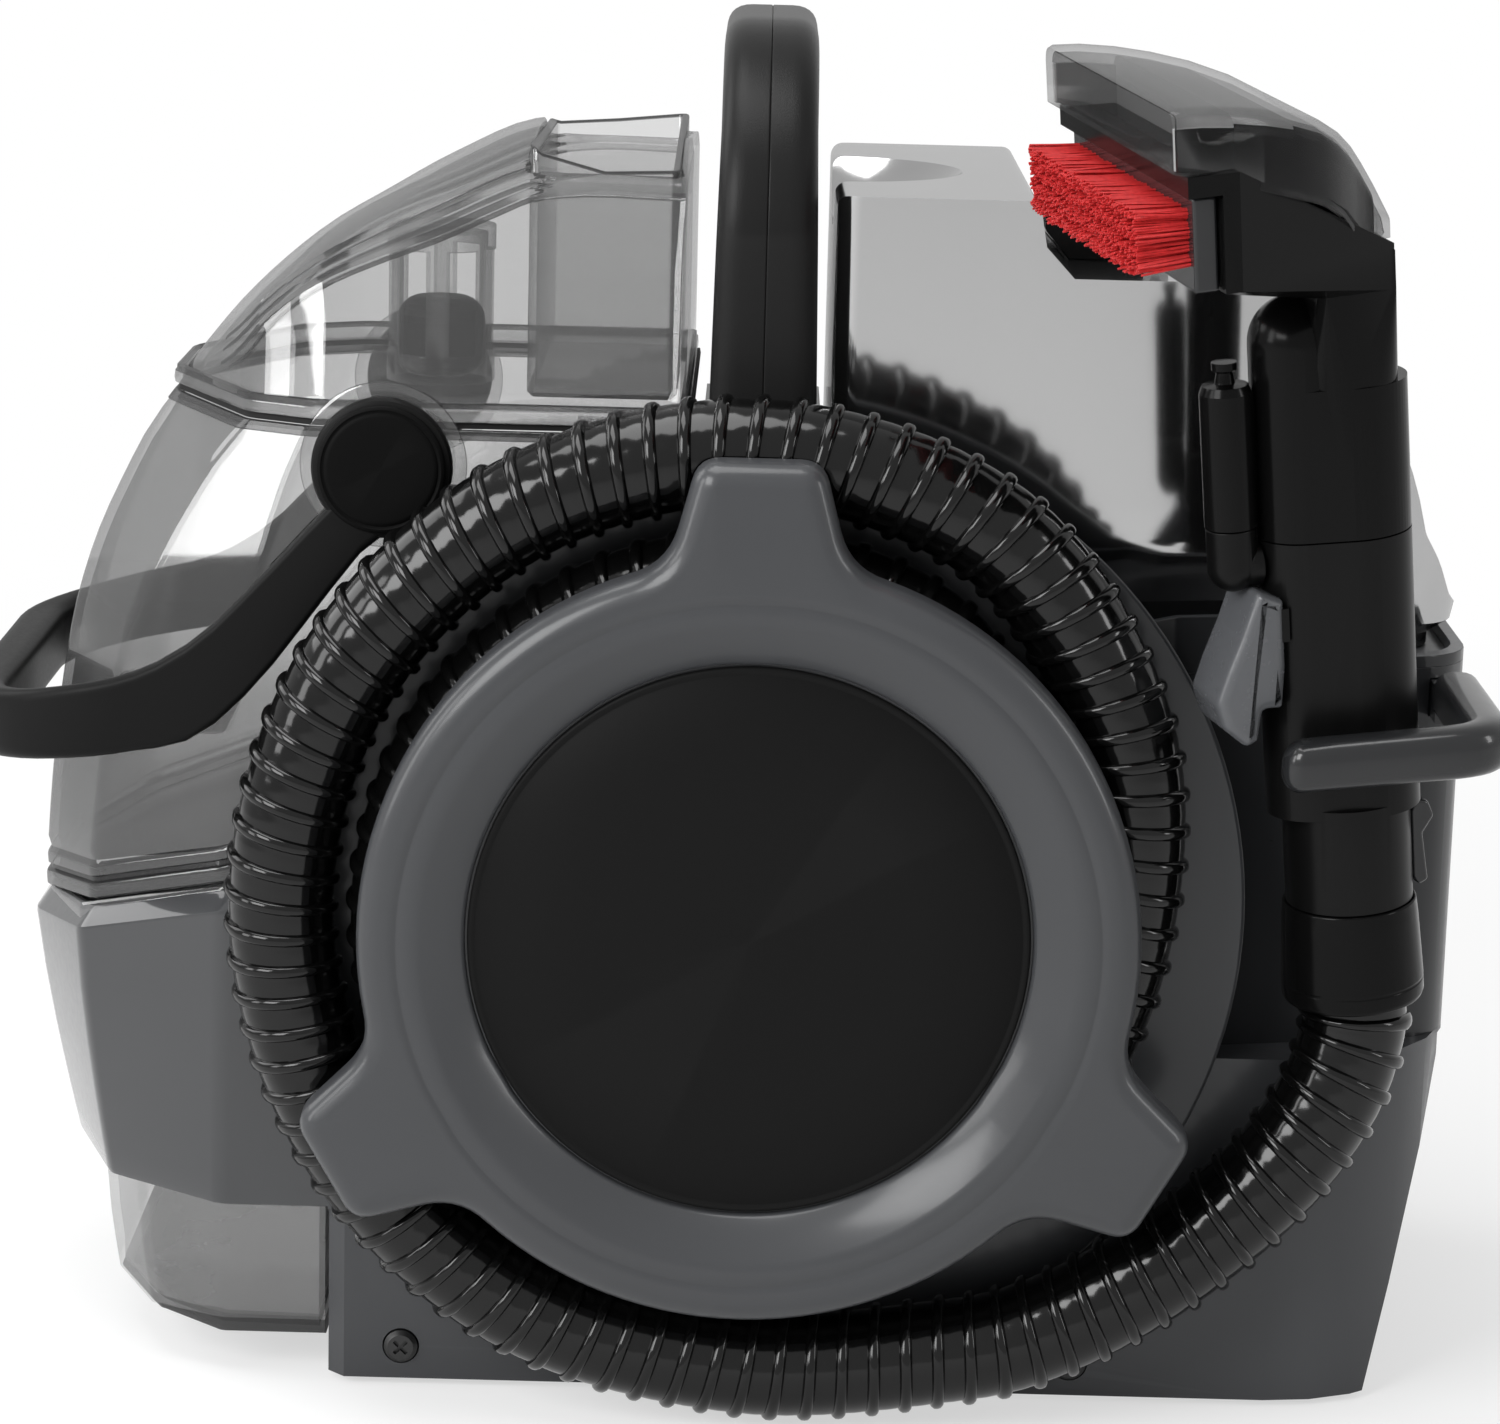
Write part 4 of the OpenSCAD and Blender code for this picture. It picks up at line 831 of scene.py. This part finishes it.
def makeCollar(look):
    y0, y1, f, rear, low = look["y0"], look["y1"], look["front"], look["rear"], look["low"]
    mid, nose, cheek, side = (y0 + y1) / 2, look["noseHalf"], look["cheek"], look["sideEnd"]
    outline = rounded([(rear, y1, 0), (side, y1, 10), (cheek, y1 - look["cheekIn"], 8), (f, mid + nose, 20),
                       (f, mid - nose, 20), (cheek, y0 + look["cheekIn"], 8), (side, y0, 10), (rear, y0, 0)], 8)

    def level(d, height):
        ring = []
        for p in inset(outline, d, closed=False):
            z = height(p.x)
            t = between(0, (look["taperTop"] - z) / (look["taperTop"] - low), 1) ** look["taperPower"]
            reach = between(0, (look["taperFrom"] - p.x) / look["taperOver"], 1)
            ring.append(at(p.x + look["taper"] * t * reach, p.y, z))
        return ring

    rings = [level(d, lambda x: low + up) for d, up in look["foot"]]
    rings += [level(d, lambda x: look["high"] + lipDrop(x) - drop) for d, drop in look["lip"] + [(look["wall"], 40)]]
    rings.append(level(look["wall"], lambda x: low + look["wallFoot"]))
    verts, faces = loft(rings, closedRing=False, closedRow=True)
    n = len(rings[0])
    faces += [tuple(i * n + end for i in range(len(rings))) for end in (0, n - 1)]
    meshPiece("collar_shroud", (verts, faces), "base", "grey_housing", ["collar"], collarFinish, sharp=26)


makeCollar(collarLook)
print("collar made")


# wand frame: local axes of the stowed wand
wandPose = {"foot": (156.8, -64.0, 113.5), "leanY": 5.0, "lean": 5.65, "turn": 15.0, "cant": 2.0, "neck": 198.0,
            "head": 195.0}


def tilted(degrees, axis):
    return Matrix.Rotation(radians(degrees), 4, axis)


def wandMatrix(pose):
    turn = tilted(pose["leanY"], "X") @ tilted(-pose["lean"], "Y") @ tilted(pose["turn"], "Z")
    return Matrix.Translation(at(*pose["foot"])) @ turn @ Matrix.Scale(mm, 4)


inWand = wandMatrix(wandPose)
inHead = (inWand @ Matrix.Translation((0, 0, wandPose["neck"])) @ tilted(wandPose["cant"], "X")
          @ Matrix.Translation((0, 0, -wandPose["head"])))


# clip bar round the wand: a soft capsule bent towards the base
clipLook = {
    "from": (138.0, -93.7), "corner": (182.0, -93.7), "to": (182.0, -37.0), "bend": 10.0, "low": 172.5, "high": 185.0,
    "half": 5.7, "round": 5.2, "rise": 0.12, "levelAt": 165.0,
    "stem": ((177, 174), (183, 174), (183, 183), (177, 183)), "stemEnds": (-37.5, -16)}


def makeClip(look):
    a, c, e = Vector(look["from"]), Vector(look["corner"]), Vector(look["to"])
    bar = rounded([(*a, 0), (*c, look["bend"]), (*e, 0)], 8)
    route = [a + (bar[1] - a) * k / 5 for k in range(5)] + bar[1:-1]
    route += [bar[-2] + (e - bar[-2]) * k / 6 for k in range(1, 7)]
    middle, tall = (look["low"] + look["high"]) / 2, (look["high"] - look["low"]) / 2
    half, r = look["half"], look["round"]
    shape = rounded([(-half, -tall, r), (half, -tall, r), (half, tall, r), (-half, tall, r)], 6)

    def section(p, way, share):
        across = Vector((way.y, -way.x)) * share
        high = 1 - half * (1 - share) / tall
        lift = middle + look["rise"] * (p.x - look["levelAt"])
        return [at(p.x + across.x * q.x, p.y + across.y * q.x, lift + q.y * high) for q in shape]

    ahead = (route[1] - route[0]).normalized()
    rings = []
    for k in range(1, 7):  # rounded free end
        t = pi / 2 * k / 6
        rings.append(section(a - ahead * half * cos(t) * 0.85, ahead, sin(t)))
    for i, p in enumerate(route[1:], 1):
        way = (route[min(i + 1, len(route) - 1)] - route[i - 1]).normalized()
        rings.append(section(p, way, 1.0))
    stem = [[at(x, y, z) for x, z in look["stem"]] for y in look["stemEnds"]]
    meshPiece("clip_bar", joined(solid(rings), solid(stem)), "base", "grey_clip", ["wand_clip"], sharp=50)


makeClip(clipLook)


# trigger under the grip: curved lever with pillowed edges
triggerLook = {
    "outline": [(-17, 103, 1.2), (-17.1, 86.7, 2), (-18.2, 76.8, 1), (-23.2, 77, 1.5), (-24.6, 69.6, 1),
                (-27.6, 68.3, 2), (-33, 73.5, 4), (-34.6, 80, 4), (-31.5, 87.5, 6), (-27.6, 95.5, 6),
                (-23.2, 106, 1.5)],
    "half": 10.2, "soft": 2.6}


def makeTrigger(look):
    outline = rounded(look["outline"], 6)[::-1]
    steps = [pi / 2 * k / 5 for k in range(6)]
    levels = [(look["soft"] * (1 - sin(t)), -look["half"] + look["soft"] * (1 - cos(t))) for t in steps]
    levels += [(d, -h) for d, h in levels[::-1]]
    rings = [[inWand @ Vector((p.x, h, p.y)) for p in inset(outline, d)] for d, h in levels]
    meshPiece("squeeze_trigger", solid(rings), "trigger", "grey_clip", ["trigger"], triggerFinish, sharp=50)


makeTrigger(triggerLook)
print("clip and trigger made")


# tool window: clear domed shell over a black core
windowLook = {
    "stations": [(-51.4, 43.9, 212.0, 225.5), (-50.4, 44.0, 211.6, 226.0), (-44, 43.6, 210.0, 225.6),
                 (-36, 42.0, 207.2, 224.4), (-28, 39.6, 204.2, 222.6), (-20, 36.6, 201.2, 220.2),
                 (-12, 32.6, 197.8, 216.8), (-6, 27.6, 193.6, 212.6), (-1, 22.0, 188.0, 208.0),
                 (3, 17.5, 185.0, 203.2), (7, 14.8, 184.0, 197.0), (10.5, 14.0, 184.0, 189.5)],
    "round": 4.0, "wall": 1.8, "core": 1.9, "coreFrom": -41, "coreTo": 9, "cheek": 1.4}


def windowRing(station, look, d):
    x, half, low, high = station
    half, low, high = half - d, low + d * 0.2, high - d
    r = min(look["round"], (high - low) * 0.45)
    shape = rounded([(-half, low, 0.4), (half, low, 0.4), (half, high, r), (-half, high, r)], 6)
    return [inHead @ Vector((x, p.x, p.y)) for p in shape]


def makeWindow(look):
    dome = solid([windowRing(st, look, 0) for st in look["stations"]])
    shell = meshPiece("nozzle_window", dome, "tool", "clear_tank", ["tool_window"], smokeFinish, sharp=40)
    thickened(shell, look["wall"])
    core = [st for st in look["stations"] if look["coreFrom"] < st[0] < look["coreTo"]]
    shape = solid([windowRing(st, look, look["core"]) for st in core])
    for side in (-1, 1):  # dark cheeks behind the window's side walls
        rings = []
        for x, half, low, high in look["stations"][1:4]:
            a, b = side * (half - look["core"]), side * (half - look["core"] - look["cheek"])
            foot, head = low + 0.6, high - 4.5
            rings.append([inHead @ Vector((x, y, z)) for y, z in ((a, foot), (b, foot), (b, head), (a, head))])
        shape = joined(shape, solid(rings))
    # the core's faces turned up, to the front, or towards the near side are a lighter grey: painted highlight
    meshPiece("nozzle_core", shape, "tool", "black_gloss", sharp=40, second=coreHighlightFinish,
              lines=lambda x, y, z, way: way.z > 0.5 or way.x < -0.6 or y > -60 and way.y < -0.5)


makeWindow(windowLook)
print("tool window made")


# bristles: four staggered rows of tufts
bristleLook = {
    "half": 37.3, "tufts": 26, "strands": 22, "rows": (190.8, 194.2, 197.6, 201.0), "root": -46.2, "long": 13.0,
    "thick": 0.36, "taper": 0.75, "tuftWide": 1.3, "tuftHigh": 1.7, "splay": 0.05, "drift": 0.06, "seed": 7}


def makeBristles(look):
    rng = random.Random(look["seed"])
    verts, faces = [], []
    for row, s in enumerate(look["rows"]):
        for tuft in range(look["tufts"]):
            middle = (2 * (tuft + 0.25 * (row % 2)) / (look["tufts"] - 0.5) - 1) * look["half"]
            for _ in range(look["strands"]):
                a, r = rng.uniform(0, 2 * pi), sqrt(rng.random())
                y, z = middle + look["tuftWide"] * r * cos(a), s + look["tuftHigh"] * r * sin(a)
                splay = (row - 1.5) * look["splay"] + rng.uniform(-look["splay"], look["splay"])
                drift = rng.uniform(-look["drift"], look["drift"])
                length = look["long"] * rng.uniform(0.9, 1.0)
                base = Vector((look["root"], y, z))
                tip = base + Vector((-1, drift, splay)) * length
                k = len(verts)
                for centre, thick in ((base, look["thick"]), (tip, look["thick"] * look["taper"])):
                    for c in range(4):
                        b = pi / 2 * c
                        verts.append(inHead @ (centre + Vector((0, cos(b), sin(b))) * thick))
                faces += [(k + c, k + (c + 1) % 4, k + 4 + (c + 1) % 4, k + 4 + c) for c in range(4)]
                faces += [(k + 3, k + 2, k + 1, k), (k + 4, k + 5, k + 6, k + 7)]
    meshPiece("bristle_rows", (verts, faces), "tool", "red_bristle", ["bristles"], sharp=60)


makeBristles(bristleLook)
print("bristles made")


# bail: flat arms that swell into a soft front bar
bailLook = {
    "outer": (-188.0, -53.0, 42.0), "inner": (-176.5, -47.5, 31.0), "round": 4.0, "boss": 17.0, "bore": 5.3,
    "arm": (-80, -86, -93, -100, -107, -114, -121, -128, -135, -140.5),
    "top": [(-188, 171), (-160, 176.5), (-138, 182.5), (-124, 191.5), (-108, 208), (-90, 227), (-80, 233)],
    "low": [(-188, 154), (-160, 158.5), (-142, 161.5), (-126, 165.5), (-112, 178), (-98, 196), (-86, 212),
            (-80, 217)]}


def makeBail(look):
    def plan(edge):  # near half of one plan line, from pivot to mid bar
        front, wall, bend = edge
        line = [Vector((x, wall)) for x in look["arm"]]
        line += [Vector((front + bend - bend * sin(t), wall + bend - bend * cos(t)))
                 for t in [pi / 2 * k / 12 for k in range(13)]]
        return line + [Vector((front, wall + bend + (tankMid - wall - bend) * k / 3)) for k in (1, 2, 3)]

    half = list(zip(plan(look["outer"]), plan(look["inner"])))
    flip = lambda p: Vector((p.x, 2 * tankMid - p.y))
    route = half + [(flip(a), flip(b)) for a, b in half[-2::-1]]
    rings = []
    for a, b in route:
        wide = (b - a).length
        middle = (a.x + b.x) / 2
        low, top = ease(look["low"], middle), ease(look["top"], middle)
        r = min(look["round"], wide * 0.46)
        ring = []
        for q in rounded([(0, 0, r), (wide, 0, r), (wide, top - low, r), (0, top - low, r)], 6):
            p = a + (b - a) * (q.x / wide)
            ring.append(at(p.x, p.y, low + q.y))
        rings.append(ring)
    shape = solid(rings)
    r, bore = look["boss"], look["bore"]
    profile = [(bore, 5.4), (r - 1.6, 5.4), (r - 0.5, 5.0), (r, 4.0)]
    profile += [(r, 1.6), (r - 0.5, 0.5), (r - 1.6, 0), (bore, 0)]
    for wall, side in ((look["outer"][1], 1), (2 * tankMid - look["outer"][1], -1)):
        shape = joined(shape, turned(profile, lambda x, y, h: at(pivotX + x, wall + side * h, pivotZ + y)))
    meshPiece("tank_bail", shape, "bail", "black_matte", ["bail"], sharp=40)


makeBail(bailLook)


# pivot caps on the bail: rim, groove and dished face
capLook = {
    "near": -53.05, "far": 106.05,
    "profile": [(15.5, 0), (15.5, 0.7), (15.1, 1.2), (14.5, 1.35), (14.2, 1.05), (13.8, 1.0), (13.5, 1.3),
                (12.6, 1.4), (8, 1.15), (0.01, 1.05)]}


def makeCaps(look):
    shape = [], []
    for wall, side in ((look["near"], 1), (look["far"], -1)):
        cap = turned(look["profile"], lambda x, y, h: at(pivotX + x, wall - side * h, pivotZ + y), 72)
        shape = joined(shape, cap)
    meshPiece("pivot_buttons", shape, "bail", "black_matte", ["pivot_caps"], knobFinish, sharp=50)


makeCaps(capLook)
print("bail made")


# clean tank: above the base's rim its near wall stays flat for longer, then curves away behind the wand
cleanLook = {
    "cutsX": (70, 78, 88, 96, 104, 112, 120, 126, 132, 140, 150, 160, 170),
    "cutsZ": (189.5, 193, 200, 206, 212, 218, 226, 235, 250, 265),
    "flat": [(62, -42), (180, -15)],
    "bowed": [(40, -42), (62, -42), (104, -42), (120, -40.5), (132, -35.5), (150, -26.5), (180, -15)],
    "bowFrom": [(200, 0), (206, 0.4), (212, 0.85), (218, 1)],
    "draft": 0.08, "draftTop": 300, "skin": 0.3, "behind": [(7, 1), (45, 0)],
    "flare": [(189.5, 0), (193, 5.5), (200, 6.3), (210, 9.5), (220, 11), (235, 11), (250, 8), (265, 4), (280, 0)],
    "flareFrom": [(130, 0), (146, 1)]}


def sliced(piece, cutsX, cutsZ=()):
    work = bmesh.new()
    work.from_mesh(piece.data)
    for way, cuts in (((1, 0, 0), cutsX), ((0, 0, 1), cutsZ)):
        for c in cuts:
            every = work.verts[:] + work.edges[:] + work.faces[:]
            bmesh.ops.bisect_plane(work, geom=every, plane_co=Vector(way) * c * mm, plane_no=way)
    return work


def bowTank(piece, look):
    work = sliced(piece, look["cutsX"], look["cutsZ"])
    for v in work.verts:
        x, y, z = v.co.x / mm, v.co.y / mm - shiftY, v.co.z / mm
        behind = y - ease(look["flat"], x)
        bow = ease(look["bowed"], x) - ease(look["flat"], x) - (behind if abs(behind) < look["skin"] else 0)
        bow = bow * ease(look["bowFrom"], z) + (look["draftTop"] - z) * look["draft"]
        v.co.y += bow * ease(look["behind"], behind) * mm
        v.co.x += ease(look["flare"], z) * ease(look["flareFrom"], x) * mm
    work.to_mesh(piece.data)
    work.free()


# the rim round it is lower at the wand's end
rimLook = {"cutsX": (132, 140, 148, 156, 164, 172), "foot": 187.5, "share": [(132, 1), (172, 0.12)]}


def lowerRim(piece, look):
    work = sliced(piece, look["cutsX"])
    for v in work.verts:
        over = v.co.z / mm - look["foot"]
        if over > 0:
            v.co.z = (look["foot"] + over * ease(look["share"], v.co.x / mm)) * mm
    work.to_mesh(piece.data)
    work.free()


# pieces that keep the part's form, with rounded edges
edgeWidths = {
    "base_housing": 1.6, "base_deck": 1.6, "base_shoulder": 1.6, "base_upper": 1.4, "base_plate": 0.6,
    "hose_flange": 0.9, "hose_hub": 0.6, "hose_port": 0.6, "screws": 0.2, "clean_tank": 2.4, "fill_cap": 1.2,
    "cuff": 0.4, "wand_handle": 0.8, "wand_elbow": 0.6, "wand_hook": 0.8, "tool_body": 1.4, "brush_block": 0.8,
    "spray_tube": 0.6, "float_cage": 0.4, "inlet_tower": 0.5, "hook_fixed": 0.8, "hook_swivel": 0.8,
    "exhaust_grille": 0.5, "cord_gland": 0.4, "power_switch": 0.6, "rubber_feet": 0.3}
ownFinish = {"screws": screwFinish, "wand_handle": wandFinish, "wand_elbow": wandFinish}
for node, width in edgeWidths.items():
    piece = softened(node, width, ownFinish.get(node))
    if node == "base_upper":
        lowerRim(piece, rimLook)
    if node in ("base_shoulder", "base_upper"):  # the bay's own walls are glossier, and their darker tone is painted shade
        piece.data.materials.append(bayGlossAndShadeFinish)
        for face in piece.data.polygons:
            face.material_index = int(face.normal.y < -0.3)
    if node == "clean_tank":
        bowTank(piece, cleanLook)
nodes["trigger_pin"].data.materials[0] = screwFinish
print("rounded pieces made")


# stage: pale floor, soft studio light
stageLook = {
    "reach": 6.0, "near": 0.3, "far": 1.1, "floor": 0.88, "nearWhite": 0.6, "gloss": 0.6, "world": 0.4,
    "lamps": [("key", (-0.95, -1.15, 0.95), (0, 0, 0.2), (0.7, 0.8), 19),
              ("left", (-1.75, -0.75, 0.7), (-0.1, 0, 0.15), (0.5, 0.9), 9),
              ("fill", (1.6, -0.6, 0.75), (0, 0, 0.15), (0.25, 0.8), 5),
              ("top", (-0.25, -0.2, 1.5), (0, 0, 0.1), (1.0, 0.7), 13),
              ("back", (-1.45, 0.45, 1.1), (0, 0, 0.15), (0.9, 0.9), 9)]}


def seenWhite(f, gloss):  # camera and clear rays see white, glossy rays a part of it
    ray = f.add("LightPath")
    ray = ray.maths("MAXIMUM", ray, f.add("LightPath", out=6))
    return ray.maths("MAXIMUM", ray, f.add("LightPath", out=3) * gloss)


def makeStage(look):
    f = Finish("studio floor")
    seen = seenWhite(f, look["gloss"])
    away = f.add("VectorMath", {"operation": "LENGTH"}, {0: f.spot()}, out=1)
    white = f.ramp(away, look["near"], look["far"], look["nearWhite"], interpolation_type="SMOOTHSTEP")
    paper = f.blend(f.noise(3, 3), grey(look["floor"] - 0.02), grey(look["floor"] + 0.02))
    matte = f.add("BsdfDiffuse", inputs={"Color": paper})
    glow = f.add("Emission", inputs={"Color": grey(1), "Strength": 1.0})
    floorFinish = f.close(f.add("MixShader", inputs={0: seen * white, 1: matte, 2: glow}))
    corners = [(x * look["reach"], y * look["reach"], 0) for x, y in ((-1, -1), (1, -1), (1, 1), (-1, 1))]
    mesh = bpy.data.meshes.new("floor")
    mesh.from_pydata(corners, [], [(0, 1, 2, 3)])
    mesh.materials.append(floorFinish)
    floor = bpy.data.objects.new("floor", mesh)
    scene.collection.objects.link(floor)

    world = bpy.data.worlds.new("studio")
    scene.world = world
    w = Finish("studio", world)
    seen = seenWhite(w, look["gloss"])
    plain = w.add("Background", inputs={"Color": grey(1), "Strength": look["world"]})
    bright = w.add("Background", inputs={"Color": grey(1), "Strength": 1.0})
    w.close(w.add("MixShader", inputs={0: seen, 1: plain, 2: bright}), "OutputWorld")

    for name, place, aim, size, power in look["lamps"]:
        data = bpy.data.lights.new(name, "AREA")
        data.shape, data.size, data.size_y, data.energy = "RECTANGLE", size[0], size[1], power
        lamp = bpy.data.objects.new(name, data)
        lamp.location = place
        lamp.rotation_euler = (Vector(aim) - Vector(place)).to_track_quat("-Z", "Y").to_euler()
        scene.collection.objects.link(lamp)


makeStage(stageLook)
scene.view_settings.view_transform = "Standard"
print("stage set")
